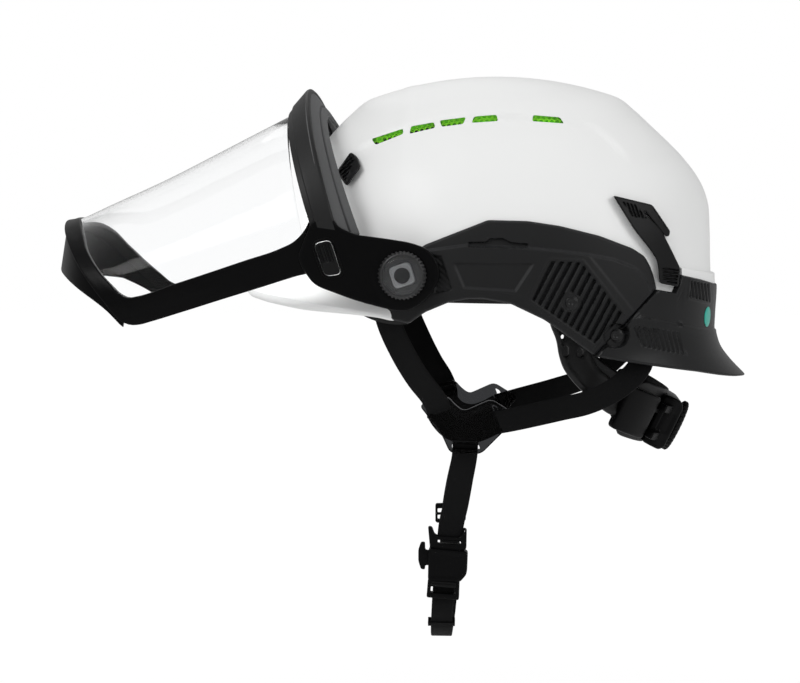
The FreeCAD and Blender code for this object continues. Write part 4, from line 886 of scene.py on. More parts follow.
# Half of one skin of the shell as a grid from the foot to the crown, its columns running front to rear.
def skin(level, rows):
    turn = np.linspace(0, math.pi, shape["columns"])
    low, high = np.full_like(turn, -0.45), np.full_like(turn, 0.3)
    for _ in range(22):
        middle = (low + high) / 2
        d = rays(turn, middle)
        hit = centre + d * castTo3(d, level)
        under = hit[..., 2] < footHeight(hit[..., 1])
        low, high = np.where(under, middle, low), np.where(under, high, middle)
    foot = (low + high) / 2
    share = np.linspace(0, 1, rows)
    share = share * (0.32 + 0.68 * share)
    lift = foot[None] + (math.pi / 2 - 1e-3 - foot[None]) * share[:, None]
    d = rays(np.broadcast_to(turn, lift.shape), lift)
    return centre + d * castTo3(d, level)


def castTo3(directions, level):
    return castTo(directions, level)[..., None]


# Both halves of a half grid: the far half is the near one with x reversed.
def wholeRing(half):
    far = half[:, -2:0:-1] * np.array([-1, 1, 1])
    return np.concatenate([half, far], axis=1)


# The shell is an outer and an inner skin, joined under the rim by a half-round edge and closed at the crown.
def buildShell():
    outside = wholeRing(skin(0.0, shape["rows"]))
    inside = wholeRing(skin(-shape["wall"], shape["innerRows"]))
    middle, half = (outside[0] + inside[0]) / 2, (outside[0] - inside[0]) / 2
    thick = np.linalg.norm(half, axis=1)[:, None]
    down = np.array([0, 0, -1.0]) - half * (half[:, 2:] * -1) / thick ** 2
    down /= np.linalg.norm(down, axis=1)[:, None]
    turns = np.radians([150, 120, 90, 60, 30])
    edge = [middle + half * math.cos(t) + down * thick * 0.8 * math.sin(t) for t in turns]
    rows = np.concatenate([inside[::-1], np.array(edge), outside])
    count, cols = rows.shape[:2]
    points = np.vstack([rows.reshape(-1, 3), inside[-1].mean(0), outside[-1].mean(0)])
    ring = np.arange(cols)
    low = np.stack([ring, np.roll(ring, -1), np.full(cols, count * cols)], 1)
    last = (count - 1) * cols + ring
    high = np.stack([last, np.roll(last, -1), np.full(cols, count * cols + 1)], 1)
    faces = [gridFaces(count, cols, closeCols=True), low, high]
    return points, faces


# vent windows on the left flank, side-view corners from front top round to front bottom
vents = {
    "windows": [[(-69.5, 92.4), (-50.5, 98.4), (-50.2, 95.2), (-66.9, 88.8)],
                [(-45.8, 99.7), (-32.1, 102.1), (-31.3, 98.7), (-46.6, 95.2)],
                [(-28.8, 103.1), (-13.3, 105.0), (-14.8, 100.9), (-27.6, 99.3)],
                [(-8.5, 105.4), (4.8, 106.4), (5.7, 102.6), (-10.0, 101.6)],
                [(8.5, 106.6), (22.4, 106.8), (21.0, 102.5), (10.1, 102.5)],
                [(26.2, 106.2), (42.0, 104.9), (44.5, 101.2), (25.7, 102.5)]],
    "corner": 1.3,
    "cutFrom": 52.0,         # the cutting blocks reach from here out past the shell
    "cutTo": 80.0,
    "cutEdge": 0.05,
    "weld": 0.02,
    "sliver": 0.002,
}


def flatX(y, z, x):
    return np.stack([x, y, z], -1)


# The cut leaves open edges: near ones are welded, and every loop that stays open is filled.
# The fill also shuts the fifth window on the left, so no open edge is left but a window is lost.
def closeSeams(mesh):
    work = bmesh.new()
    work.from_mesh(mesh)
    bmesh.ops.remove_doubles(work, verts=work.verts, dist=vents["weld"] * mm)
    bmesh.ops.dissolve_degenerate(work, edges=work.edges, dist=vents["sliver"] * mm)
    bmesh.ops.holes_fill(work, edges=[e for e in work.edges if e.is_boundary], sides=0)
    print("shell cut, open edges:", sum(not e.is_manifold for e in work.edges))
    work.to_mesh(mesh)
    work.free()


def cutVents(piece):
    parts = []
    for window in vents["windows"]:
        loop = softPolygon(window, vents["corner"], 4.0)
        points, faces, _ = plate(loop, [], vents["cutFrom"], vents["cutTo"], vents["cutEdge"], flatX)
        parts.append((points, faces))
        parts.append((points * np.array([-1, 1, 1]), [np.asarray(f)[:, ::-1] for f in faces]))
    points, faces = joined(parts)
    cutter = addPiece("ventCutter", points, faces, shellPlastic, "helmet")
    cut = piece.modifiers.new("vents", "BOOLEAN")
    cut.object = cutter
    cut.solver = "EXACT"
    graph = bpy.context.evaluated_depsgraph_get()
    mesh = bpy.data.meshes.new_from_object(piece.evaluated_get(graph))
    piece.modifiers.clear()
    closeSeams(mesh)
    old, piece.data = piece.data, mesh
    name = old.name
    bpy.data.meshes.remove(old)
    mesh.name = name
    bpy.data.objects.remove(cutter)
    mesh.shade_smooth()
    mesh.set_sharp_from_angle(angle=math.radians(34))


shellPoints, shellFaces = buildShell()
shell = addPiece("shell", shellPoints, shellFaces, shellPlastic, "helmet", ["outer_shell"],
                 sharp=60)
cutVents(shell)
print("shell:", len(shell.data.polygons), "faces")


# x of the shell's side at side-view places: the first point inside along -X, halved to the surface.
def outerX(y, z):
    p = np.stack([np.zeros_like(y), y, z], -1)
    high = np.full(np.shape(y), 120.0)
    found = np.zeros(np.shape(y), bool)
    for x in np.arange(118.0, 0.0, -3.0):
        p[..., 0] = x
        inside = shellField(p) < 0
        high = np.where(~found & ~inside, x, high)
        found |= inside
    low = high - 3.0
    for _ in range(12):
        middle = (low + high) / 2
        p[..., 0] = middle
        inside = shellField(p) < 0
        low, high = np.where(inside, middle, low), np.where(inside, high, middle)
    return low


# A height above the shell's side, measured square to the surface and moved along X.
def onShell(y, z, h):
    x = outerX(y, z)
    slopeY = outerX(y + 0.5, z) - outerX(y - 0.5, z)
    slopeZ = outerX(y, z + 0.5) - outerX(y, z - 0.5)
    return np.stack([x + h * np.sqrt(1 + np.minimum(slopeY ** 2 + slopeZ ** 2, 3.0)), y, z], -1)


# The same for the plain dome, whose ring equation gives x at once.
def domeX(y, z):
    front, back, half = (through(domeTable, z, k) for k in (1, 2, 3))
    share = np.clip(np.abs(y) / np.where(y < 0, front, back), 0, 0.9999)
    return half * (1 - share ** shape["power"]) ** (1 / shape["power"])


def onDome(y, z, h):
    slopeY = domeX(y + 0.5, z) - domeX(y - 0.5, z)
    slopeZ = domeX(y, z + 0.5) - domeX(y, z - 0.5)
    return np.stack([domeX(y, z) + h * np.sqrt(1 + np.minimum(slopeY ** 2 + slopeZ ** 2, 3.0)), y, z], -1)


# lime honeycomb: six-sided cells whose walls stand behind the vent windows
honeycomb = {"pitch": 3.2, "wallShare": 0.66, "depth": 1.3, "behind": 2.9, "from": -73.0, "to": 47.0,
             "tall": 8.4}


def buildHoneycomb():
    pitch, share = honeycomb["pitch"], honeycomb["wallShare"]
    across = np.arange(honeycomb["from"], honeycomb["to"], pitch)
    up = np.arange(-honeycomb["tall"] / 2, honeycomb["tall"] / 2 + 0.1, pitch * math.sqrt(3) / 2)
    rowOf, colOf = np.meshgrid(np.arange(len(up)), np.arange(len(across)), indexing="ij")
    cy = across[colOf] + (rowOf % 2) * pitch / 2
    middles = np.array([np.mean(window, axis=0) for window in vents["windows"]])
    midY, midZ = middles[:, 0], middles[:, 1]
    cz = np.interp(cy, midY, midZ) + up[rowOf]
    cy, cz = cy.ravel(), cz.ravel()
    wallX = np.minimum(outerX(cy, cz), outerX(cy, np.interp(cy, midY, midZ)))
    turn = np.radians(30 + 60 * np.arange(6))
    rings = []
    for radius, back in ((pitch / math.sqrt(3), 0.0), (pitch / math.sqrt(3) * share, 0.0),
                         (pitch / math.sqrt(3) * share * 0.92, 1.0)):
        y = cy[:, None] + radius * np.cos(turn)
        z = cz[:, None] + radius * np.sin(turn)
        x = np.broadcast_to(wallX[:, None] - honeycomb["behind"] - back * honeycomb["depth"], y.shape)
        rings.append(np.stack([x, y, z], -1))
    outer = rings[0].copy()
    outer[..., 0] -= honeycomb["depth"] + 0.8
    points = np.stack([outer, *rings, ], 1)
    cells = len(cy)
    index = np.arange(cells * 24).reshape(cells, 4, 6)
    faces = []
    for a, b in ((0, 1), (1, 2), (2, 3)):
        p, q = index[:, a], index[:, b]
        faces.append(np.stack([p, np.roll(p, -1, 1), np.roll(q, -1, 1), q], -1).reshape(-1, 4))
    faces += [index[:, 3][:, ::-1], index[:, 0]]
    return points.reshape(-1, 3), faces


combPoints, combFaces = buildHoneycomb()
comb = addPiece("leftHoneycomb", combPoints, combFaces, limePlastic, "helmet",
                ["left_honeycomb_panel"], 30)
mirrorPiece(comb, "rightHoneycomb", "helmet", ["right_honeycomb_panel"])
repaint("foam_liner", foamBeads)
print("honeycomb panels:", len(comb.data.polygons), "faces")

# side covers: ribbed panels over the ears

cover = {
    "gap": 0.3,
    "border": 1.9,
    "panel": 3.8,
    "edge": 1.7,
    "columns": 300,
    "rows": 116,
    "ribPitch": 4.9,
    "ribWidth": 2.9,
    "ribDepth": 2.1,
    "ribLean": 0.525,
    "badgeDepth": 1.2,
}
earArch = [(-77, -8.8), (-45, -15.1), (-35.5, -8.2), (-21.6, -2.3), (-10.7, -0.3), (-1.5, -0.3), (13.8, -3),
           (32.9, -12.2),
           (42.1, -18.6), (62.2, -33.7), (98.4, 4.8)]
coverTop = [(-77, -8.8), (-72, -1), (-36.1, 30.5), (0.6, 44.9), (23.5, 44.3), (41.8, 41.5), (64.6, 35.8),
            (84, 28.4),
            (91.5, 23.5), (96, 15), (98.4, 4.8)]
ridgeLine = [(-36.1, 27.5), (-10.2, 31), (23.6, 29.2), (41.8, 27.5), (58.4, 25.3), (73.2, 22.4), (85.5,
        17.5), (92, 11),
             (95.5, 3)]
panelArea = ridgeLine + [(110, -20), (40, -60), (-90, -40), (-80, 10)]
ribField = [(36.5, 21.5), (54.4, 20.6), (78.6, -9.9), (62.1, -26.0), (26, -0.6)]
behindRibs = [(57.6, 25.3), (85.9, -9.6), (110, -20), (110, 40)]
badgeArea = [(-19.3, 20.6), (27.6, 20.6), (16.8, 4.2), (-13.0, 6.0)]
gripArea = [(-31.5, 24.8), (-26.2, 24.2), (-19.7, 5.4), (-22.2, 4.0), (-29.5, 3.0)]
slitArea = [(-10.2, 29.6), (-10.2, 32.2), (-1, 32.2), (2.5, 34.3), (9, 34.3), (13.5, 32.2), (23.4, 31.2),
            (23.4, 28.9)]
rivetPlaces = [(48.2, -2.2), (74.3, -21.8)]


# Height of an outline at y, its runs rounded where they bend.
def edgeCurve(points, y):
    points = np.asarray(points, float)
    blur = sum(np.interp(np.clip(y + s, points[0, 0], points[-1, 0]), points[:, 0], points[:,
            1]) for s in (-1.2, 0, 1.2))
    ends = rise(y, points[0, 0], points[0, 0] + 3) * rise(-y, -points[-1, 0], -points[-1, 0] + 3)
    return blur / 3 * ends + np.interp(y, points[:, 0], points[:, 1]) * (1 - ends)


# Half-round bars: the root of 1 - (distance / half width)^2 across each pitch.
def ribStripe(y, z):
    phase = (y - 22 - cover["ribLean"] * (z + 30)) % cover["ribPitch"]
    half = cover["ribWidth"] / 2
    return np.sqrt(np.maximum(1 - ((phase - half) / (half + 0.35)) ** 2, 0))


# Height of the cover over the dome: border, raised panel, sunk rib field with bars, badge, grip and slit.
def coverHeight(y, z, rim):
    p = np.stack([y, z], -1)
    height = cover["border"] + (cover["panel"] - cover["border"]) * rise(insideBy(p, panelArea), -0.4, 1.0)
    height -= 0.55 * rise(insideBy(p, behindRibs), -0.2, 0.9) * rise(insideBy(p, panelArea), -0.4, 1.0)
    field = insideBy(p, ribField)
    boss = np.hypot(y - rivetPlaces[0][0], z - rivetPlaces[0][1])
    ribs = rise(field, -0.2, 0.7) * (1 - ribStripe(y, z))
    height -= cover["ribDepth"] * ribs * rise(boss, 5.4, 6.2)
    height -= 0.5 * rise(-boss, -5.9, -5.3)
    height += 0.35 * rise(-np.abs(field + 1.1), -1.1, -0.3)
    badge = insideBy(p, badgeArea)
    height -= cover["badgeDepth"] * rise(badge, -0.2, 1.3)
    height += 0.3 * rise(-np.abs(badge + 0.8), -0.9, -0.2) * rise(-z, -19.5, -16)
    grip = insideBy(p, gripArea)
    bars = rise(np.abs(((z + 0.8 * y) % 3.2) - 1.6), 0.5, 0.9)
    height -= rise(grip, -0.2, 0.6) * (0.9 + 0.5 * bars)
    height -= 2.1 * rise(insideBy(p, slitArea), -0.2, 0.35)
    tab = np.hypot(y - rivetPlaces[1][0], z - rivetPlaces[1][1])
    height -= 2.6 * rise(-tab, -7.2, -6.7)
    lip = np.sqrt(1 - (1 - np.clip(rim / cover["edge"], 0, 1)) ** 2)
    return cover["gap"] + np.maximum(height, 0.2) * lip


# Painted highlights on the cover's lit lines: its ridge, the fold behind the ribs and the badge's border.
def coverHighlight(y, z):
    p = np.stack([y, z], -1)
    ridge = rise(-np.abs(insideBy(p, panelArea) - 0.2), -1.1, -0.3) * rise(z, -8, -4)
    fold = rise(-np.abs(insideBy(p, behindRibs) - 0.3), -0.8, -0.2) * rise(insideBy(p, panelArea), 0.5, 1.5)
    badge = rise(-np.abs(insideBy(p, badgeArea) - 0.4), -1.0, -0.3) * rise(-z, -19.5, -16)
    return np.maximum(np.maximum(ridge, 0.6 * fold), 0.8 * badge)


# Sheet over the dome between two side-view curves: outside rows spread by a cosine, and a plain inside.
def domeSheet(low, high, start, end, columns, rows, heightOf, highlightOf, inner, lay):
    span = np.linspace(0, 1, columns)
    y = start + (end - start) * (span * 0.9 + 0.1 * (0.5 - 0.5 * np.cos(span * math.pi)))
    zLow, zHigh = edgeCurve(low, y), edgeCurve(high, y)
    share = 0.55 * (0.5 - 0.5 * np.cos(np.linspace(0, math.pi, rows))) + 0.45 * np.linspace(0, 1, rows)
    yy = np.broadcast_to(y, (rows, columns))
    zz = zLow + (zHigh - zLow) * share[:, None]
    border = np.vstack([np.column_stack([y, zLow]), np.column_stack([y, zHigh])[-2:0:-1]])
    rim = np.abs(insideBy(np.stack([yy.ravel(), zz.ravel()], -1), border[::2])).reshape(rows, columns)
    rim[[0, -1]] = 0
    rim[:, [0, -1]] = 0
    outside = lay(yy, zz, heightOf(yy.ravel(), zz.ravel(), rim.ravel()).reshape(rows, columns))
    few = np.linspace(0, 1, 8)
    zi = zLow + (zHigh - zLow) * few[:, None]
    inside = lay(np.broadcast_to(y, zi.shape), zi, np.full(zi.shape, inner))
    points = np.vstack([outside.reshape(-1, 3), inside.reshape(-1, 3)])
    faces = [gridFaces(rows, columns), gridFaces(8, columns, first=rows * columns)[:, ::-1]]
    # the ring inside the rim is marked paler, partly edge wear and partly painted highlight; the lines from
    # the cover's highlight function are painted highlights
    wornAndHighlit = rise(-np.abs(rim - cover["edge"] * 0.4), -cover["edge"] * 0.5, 0)
    wornAndHighlit = np.maximum(wornAndHighlit, highlightOf(yy.ravel(), zz.ravel()).reshape(wornAndHighlit.shape))
    return points, faces, np.concatenate([wornAndHighlit.ravel(), np.zeros(8 * columns)])


coverPoints, coverFaces, coverWearAndHighlight = domeSheet(earArch, coverTop, -77.0, 98.4, cover["columns"],
                                               cover["rows"],
                                               coverHeight, coverHighlight, cover["gap"], onDome)
leftCover = addPiece("leftSideCover", coverPoints, coverFaces, coverPlastic, "helmet",
                     ["left_side_cover"],
                     50, wearAndHighlight=coverWearAndHighlight)
mirrorPiece(leftCover, "rightSideCover", "helmet", ["right_side_cover"])
print("side covers:", len(leftCover.data.polygons), "faces")

# nape guard: one piece round the back, its lower part flaring into a skirt

guard = {
    "columns": 640,
    "rows": 100,
    "wall": 3.2,
    "edge": 1.5,
    "tilt": 0.045,
    "ribDepth": 1.1,
}
skirtTable = np.array([(-47, 112, 162.0, 107), (-39, 112, 154.2, 106.4), (-29, 112, 144.2, 106.4), (-22.5,
        112, 139.2, 106.6),
                       (-14.5, 112, 136.2, 106.8), (-2.5, 112, 135.4, 106.9)], float)
guardTop = [(60, -31), (66, -29.6), (98.9, 4.6), (110.5, 2.2), (114.3, 12.6), (127, 9.4), (138, 5.6), (150,
        4.2)]
guardFoot = [(60, -33.2), (62.6, -33.6), (88.6, -38.6), (125.3, -45), (140, -48.2), (156.5, -51.5), (170,
        -54)]
skirtRibs = [(83.6, -15.6), (111.2, -21.2), (116.8, -35.2), (88.7, -28.2)]
sideVent = [(119.6, 8.7), (131.3, 6.1), (132.4, -4.7), (118.6, -0.9)]


# Rear reach and half width of the guard at a height h over the skin: the dome or the flaring skirt, whichever
# stands out further. The skirt's rings dip towards the rear, so each place is moved up to its own ring first.
def guardReach(z, y, h):
    ring = z + guard["tilt"] * (y + shape["front"])
    return [softMax(through(domeTable, z, k) + h, through(skirtTable, ring, k) + h - 0.2, 2.0) for k in (2,
            3)]


# Point of the guard at an angle from the back: the superellipse with those reaches.
def onGuard(turn, z, h):
    power = 2 / shape["power"]
    y = np.full(np.shape(z), 120.0)
    for _ in range(4):
        rear, half = guardReach(z, y, h)
        y = rear * np.abs(np.cos(turn)) ** power
    x = half * np.sign(np.sin(turn)) * np.abs(np.sin(turn)) ** power
    return np.stack([x, y, z], -1)


def guardHeight(y, z, rim):
    p = np.stack([y, z], -1)
    height = np.full(np.shape(y), guard["wall"])
    height += 0.9 * rise(-(z + 10 + 0.24 * (y - 86)), 0.0, 1.0)
    field = insideBy(p, skirtRibs)
    stripe = rise(np.abs(((y + 0.25 * z) % 2.7) - 1.35), 0.35, 0.75)
    height -= guard["ribDepth"] * rise(field, -0.2, 0.7) * stripe
    vent = insideBy(p, sideVent)
    slats = rise(np.abs(((y + 0.15 * z) % 2.2) - 1.1), 0.3, 0.6)
    height -= 1.5 * rise(vent, -0.2, 0.5) * slats
    height += 0.3 * rise(-np.abs(vent + 0.9), -0.8, -0.2)
    tab = np.hypot(y - rivetPlaces[1][0], z - rivetPlaces[1][1])
    height = np.where(tab < 7.4, 0.9 + (height - 0.9) * rise(tab, 6.9, 7.4), height)
    lip = np.sqrt(1 - (1 - np.clip(rim / guard["edge"], 0, 1)) ** 2)
    return cover["gap"] + height * lip


def guardSheet():
    share = np.linspace(-1, 1, guard["columns"])
    rise01 = 0.5 * (0.5 - 0.5 * np.cos(np.linspace(0, math.pi, guard["rows"]))) + 0.5 * np.linspace(0, 1,
            guard["rows"])
    seam = np.array([(-33.7, 62.9), (-29.6, 66.2), (4.8, 99.0), (30, 100)])
    z = np.full((guard["rows"], guard["columns"]), -20.0)
    turn = np.zeros_like(z)
    for _ in range(14):
        place = onGuard(turn, z, guard["wall"])
        y = place[..., 1]
        low = np.interp(y, *np.array(guardFoot).T)
        high = np.interp(y, *np.array(guardTop).T)
        z = 0.4 * z + 0.6 * (low + (high - low) * rise01[:, None])
        rear = guardReach(z, y, guard["wall"])[0]
        start = np.interp(z, seam[:, 0], seam[:, 1])
        most = np.arccos(np.clip(start / rear, 0, 1) ** (shape["power"] / 2))
        turn = most * share[None]
    return turn, z, y


def buildGuard():
    turn, z, y = guardSheet()
    rows, columns = z.shape
    flat = onGuard(turn, z, guard["wall"])
    border = np.concatenate([flat[0], flat[:, -1], flat[-1, ::-1], flat[::-1, 0]])
    step = border[::3]
    rim = np.empty(z.shape)
    for row in range(rows):
        rim[row] = np.linalg.norm(flat[row][:, None] - step[None], axis=-1).min(1)
    rim[[0, -1]] = 0
    rim[:, [0, -1]] = 0
    height = guardHeight(y.ravel(), z.ravel(), rim.ravel()).reshape(z.shape)
    outside = onGuard(turn, z, height)
    pick = np.linspace(0, rows - 1, 12).astype(int)
    inside = onGuard(turn[pick], z[pick], np.full((12, columns), cover["gap"]))
    points = np.vstack([outside.reshape(-1, 3), inside.reshape(-1, 3)])
    base = rows * columns
    faces = [gridFaces(rows, columns), gridFaces(12, columns, first=base)[:, ::-1]]
    for edgeCol in (0, columns - 1):
        run = np.arange(rows) * columns + edgeCol
        hub = base + np.round(np.arange(rows) / (rows - 1) * 11).astype(int) * columns + edgeCol
        faces.append(np.stack([run[:-1], run[1:], hub[1:], hub[:-1]], 1))
    # the ring inside the guard's rim is marked to be paler: partly edge wear, partly a painted highlight on
    # its edge
    wornAndHighlit = rise(-np.abs(rim - 0.7), -0.9, 0)
    return points, faces, np.concatenate([wornAndHighlit.ravel(), np.zeros(12 * columns)])


guardPoints, guardFaces, guardWearAndHighlight = buildGuard()
napeGuard = addPiece("napeGuard", guardPoints, guardFaces, guardPlastic, "helmet",
                     ["nape_guard"], 50,
                     wearAndHighlight=guardWearAndHighlight)
print("nape guard:", len(napeGuard.data.polygons), "faces")

# white ledge of the shell's rim, standing out just above the guard
ledge = {"turn": 0.63, "rise": 16.6, "fall": 0.2, "out": 1.1, "thick": 2.6, "steps": 160}


def addLedge():
    turn = np.linspace(-ledge["turn"], ledge["turn"], ledge["steps"])
    y = onGuard(turn, np.full_like(turn, 10.0), ledge["out"])[:, 1]
    high = ledge["rise"] - ledge["fall"] * (y - 113)
    low = np.interp(y, *np.array(guardTop).T) - 2.0
    foot, top = onGuard(turn, np.minimum(low, high - 3), ledge["out"]), onGuard(turn, high, ledge["out"])
    out = np.cross(np.gradient(top, axis=0), top - foot)
    points, faces, _ = band(foot, top, out, ledge["thick"], 0.8)
    addPiece("rimLedge", points, faces, shellPlastic, "helmet", ["outer_shell"], 50)


addLedge()

# push rivets: a stepped head with a dimple

rivet = {"radius": 4.3, "height": 2.0}


def rivetHead(y, z, base):
    profile = softProfile([(0.001, base + rivet["height"] - 0.5), (1.0, base + rivet["height"] - 0.5),
                           (1.5, base + rivet["height"]), (2.9, base + rivet["height"] - 0.1),
                           (3.3, base + rivet["height"] * 0.55), (rivet["radius"],
                                                                  base + rivet["height"] * 0.4),
                           (rivet["radius"], base - 1.0), (0.001, base - 1.0)], 0.35)
    return turned(profile, (0, y, z), (1, 0, 0), (0, 0, 1), 48)


def buildRivets():
    parts = []
    for (y, z), sunk in zip(rivetPlaces, (3.0, 1.4)):
        base = float(onDome(np.array([y]), np.array([z]), np.array([sunk]))[0, 0])
        points, faces = rivetHead(y, z, base)
        parts.append((points, faces))
        parts.append((points * np.array([-1, 1, 1]), [f[:, ::-1] for f in faces]))
    return joined(parts)


rivetPoints, rivetFaces = buildRivets()
addPiece("coverRivets", rivetPoints, rivetFaces, rivetPlastic, "helmet", ["cover_rivets"], 32)

# strap clips for a lamp: stepped plates on the shell's side

clips = {
    "rear": [(72.4, 59.0), (95.7, 53.5), (106.6, 38.0), (105.6, 34.9), (103.2, 35.5), (91.6, 49.6), (90.6,
            49.6),
             (101.0, 38.9), (107.6, 26.6), (113.0, 16.0), (111.6, 5.4), (100.1, 8.0), (99.2, 18.4), (98.2,
                     21.9), (94.0, 27.9),
             (84.4, 39.8)],
    "front": [(-90.5, 73), (-81.8, 84.7), (-77.6, 81.7), (-75.2, 75.8), (-83.6, 64.5)],
    "wall": 4.2,
}


def buildClips():
    lower = [(101.3, 17.8), (111.8, 15.5), (110.6, 6.9), (101.4, 9.2)]
    upper = [(77.6, 55.4), (85.6, 53.8), (92.6, 45.6), (84.0, 46.4)]

    def lay(y, z, h):
        p = np.stack([np.ravel(y), np.ravel(z)], -1)
        low = rise(insideBy(p, lower), 0.0, 0.4) * rise(np.abs((p[:, 1] + 0.1 * p[:, 0]) % 1.9 - 0.95),
                                                        0.35, 0.6)
        top = rise(insideBy(p, upper), 0.0, 0.4) * rise(np.abs((p[:, 0] + 0.35 * p[:, 1]) % 2.0 - 1.0), 0.4,
                                                        0.65)
        sunk = np.where(np.ravel(h) > 3.0, 0.9 * np.maximum(low, top), 0)
        return onShell(y, z, h - sunk.reshape(np.shape(h)))

    def layFront(y, z, h):
        p = np.stack([np.ravel(y), np.ravel(z)], -1)
        area = insideBy(p, [(-89.0, 73), (-82, 82.8), (-78.8, 79.5), (-84, 67)])
        slat = rise(area, 0.0, 0.4) * rise(np.abs((p[:, 1] - 0.8 * p[:, 0]) % 2.6 - 1.3), 0.4, 0.7)
        return onShell(y, z, h - np.where(np.ravel(h) > 3.0, 0.8 * slat, 0).reshape(np.shape(h)))

    rear = plate(softPolygon(clips["rear"], 1.6, 1.0), [], 0.4, cover["gap"] + clips["wall"], 0.8, lay,
                 spacing=0.55)
    front = plate(softPolygon(clips["front"], 1.4, 1.0), [], -0.6, cover["gap"] + clips["wall"], 0.8,
                  layFront, spacing=0.55)
    return rear, front


for clipName, (clipPoints, clipFaces, clipWearAndHighlight) in zip(("Rear", "Front"), buildClips()):
    node = clipName.lower() + "_lamp_clip"
    clip = addPiece("left" + clipName + "Clip", clipPoints, clipFaces, clipPlastic, "helmet",
                    ["left_" + node], 42, wearAndHighlight=clipWearAndHighlight)
    mirrorPiece(clip, "right" + clipName + "Clip", "helmet", ["right_" + node])

# small plain oval inlay on the guard's left rear
oval = {"turn": 0.354, "height": -13.8, "tall": 6.0, "wide": 6.4, "reach": 135.0}


def buildOval():
    aroundOval = np.linspace(0, 2 * math.pi, 64, endpoint=False)
    rings = []
    for share, height in ((1.0, 3.0), (1.0, 3.75), (0.94, 3.95), (0.5, 4.0), (0.001, 4.02)):
        turn = oval["turn"] - oval["wide"] / oval["reach"] * share * np.cos(aroundOval)
        z = oval["height"] + oval["tall"] * share * np.sin(aroundOval)
        rings.append(onGuard(turn, z, np.full(64, height)))
    points = np.concatenate(rings)
    return points, [gridFaces(5, 64, closeCols=True)]


ovalPoints, ovalFaces = buildOval()
addPiece("guardInlay", ovalPoints, ovalFaces, tealInlay, "helmet", ["guard_emblem"], 50)
print("covers, guard, rivets and clips are in place")

# face shield on its two arms: brow band, seal, lens and frame are all strips along half ellipses

visor = {
    "armInner": 112.3,
    "armOuter": 116.3,
    "armEdge": 1.3,
    "pivot": (-47.8, 13.5),
    "span": 270.0,           # length given to a half ellipse from leg to leg
    "steps": 150,
    "buttonProud": 1.6,
    "rimProud": 0.5,
    "frameWall": 1.9,
    "lensWall": 2.0,
    "chinLift": 3.0,         # how far the chin edge of the lens rises at the middle
    "cornerLift": 5.0,       # and how much more the frame's front corner does
}


# Place on a strip that runs from one half ellipse to another: a goes along, e round the ellipse, h outward.
# Each ellipse stands on its lower corner, its top at the centre line, and runs on straight below the corners.
def hoop(first, last, length):
    (cornerA, topA, halfA), (cornerB, topB, halfB) = first, last

    def point(a, e):
        s = (a / length)[..., None]
        corner = np.array(cornerA) + s * (np.array(cornerB) - np.array(cornerA))
        top = np.array(topA) + s * (np.array(topB) - np.array(topA))
        half = halfA + s[..., 0] * (halfB - halfA)
        tall = np.linalg.norm(top - corner, axis=-1)
        up = (top - corner) / tall[..., None]
        turn = np.clip(e / visor["span"], 0, 1) * math.pi
        leg = np.minimum(e, 0) + np.minimum(visor["span"] - e, 0)
        side = corner + up * (tall * np.sin(turn) + leg)[..., None]
        return np.concatenate([(half * np.cos(turn))[..., None], side], -1)

    def lay(a, e, h):
        a, e = np.asarray(a, float), np.asarray(e, float)
        along = point(a + 0.5, e) - point(a - 0.5, e)
        inside = np.clip(e, 0.6, visor["span"] - 0.6)
        around = point(a, inside + 0.5) - point(a, inside - 0.5)
        out = np.cross(along, around)
        out /= np.linalg.norm(out, axis=-1)[..., None]
        out *= np.sign((out * (point(a, e) - np.array([0, -60, -60]))).sum(-1))[..., None]
        return point(a, e) + out * np.asarray(h)[..., None]

    return lay


# Closed section of (a, h) corners carried round a hoop from e = start to e = end.
def hoopLoft(lay, section, start, end):
    section = np.asarray(section, float)
    e = np.linspace(start, end, visor["steps"])
    a = np.broadcast_to(section[:, 0], (len(e), len(section)))
    h = np.broadcast_to(section[:, 1], a.shape)
    grid = lay(a, np.broadcast_to(e[:, None], a.shape), h)
    points = np.vstack([grid.reshape(-1, 3), grid[0].mean(0), grid[-1].mean(0)])
    rows, cols = a.shape
    ring = np.arange(cols)
    last = (rows - 1) * cols + ring
    caps = [np.stack([ring, np.roll(ring, -1), np.full(cols, rows * cols)], 1),
            np.stack([last, np.roll(last, -1), np.full(cols, rows * cols + 1)], 1)]
    return points, [gridFaces(rows, cols, closeCols=True)] + caps


# brow band: a channel with a narrow front lip and a raised rear edge
browHoop = hoop(((-101, 44), (-122, 111), 114.4), ((-86.5, 42), (-110.8, 124), 114.4), 14.6)
browSection = softPolygon([(-0.6, -1.7), (-0.6, 0.9), (3.0, 1.1), (3.3, 1.9), (13.8, 2.0), (15.0, 1.2),
                           (15.0, -1.7)], 0.7, 3.0)
browPoints, browFaces = hoopLoft(browHoop, browSection, -3.0, visor["span"] + 3.0)
addPiece("browBand", browPoints, browFaces, bandPlastic, "visor", ["visor_carrier"], 40)

# soft seal from the band back to the shell, its rear lip parted by a groove
sealHoop = hoop(((-88.4, 42.0), (-111.2, 122.6), 114.2), ((-74.8, 38.8), (-100.6, 107.6), 101.5), 15.5)
sealSection = softPolygon([(-2.0, -1.4), (-2.0, 0.7), (8.6, 1.2), (9.0, 0.0), (9.7, 0.0), (10.1, 1.5),
                           (15.2, 1.3),
                           (16.0, 0.2), (15.6, -1.4)], 0.5, 3.0)
sealPoints, sealFaces = hoopLoft(sealHoop, sealSection, -2.5, visor["span"] + 2.5)
addPiece("browSeal", sealPoints, sealFaces, sealRubber, "visor", ["brow_seal"], 40)

# lens: the sheet turns up a little towards its chin edge, where the frame's front corner stands
flatHoop = hoop(((-104, 29), (-121.5, 108.5), 110.7), ((-209, -9), (-262, 37), 88.0), 112.0)


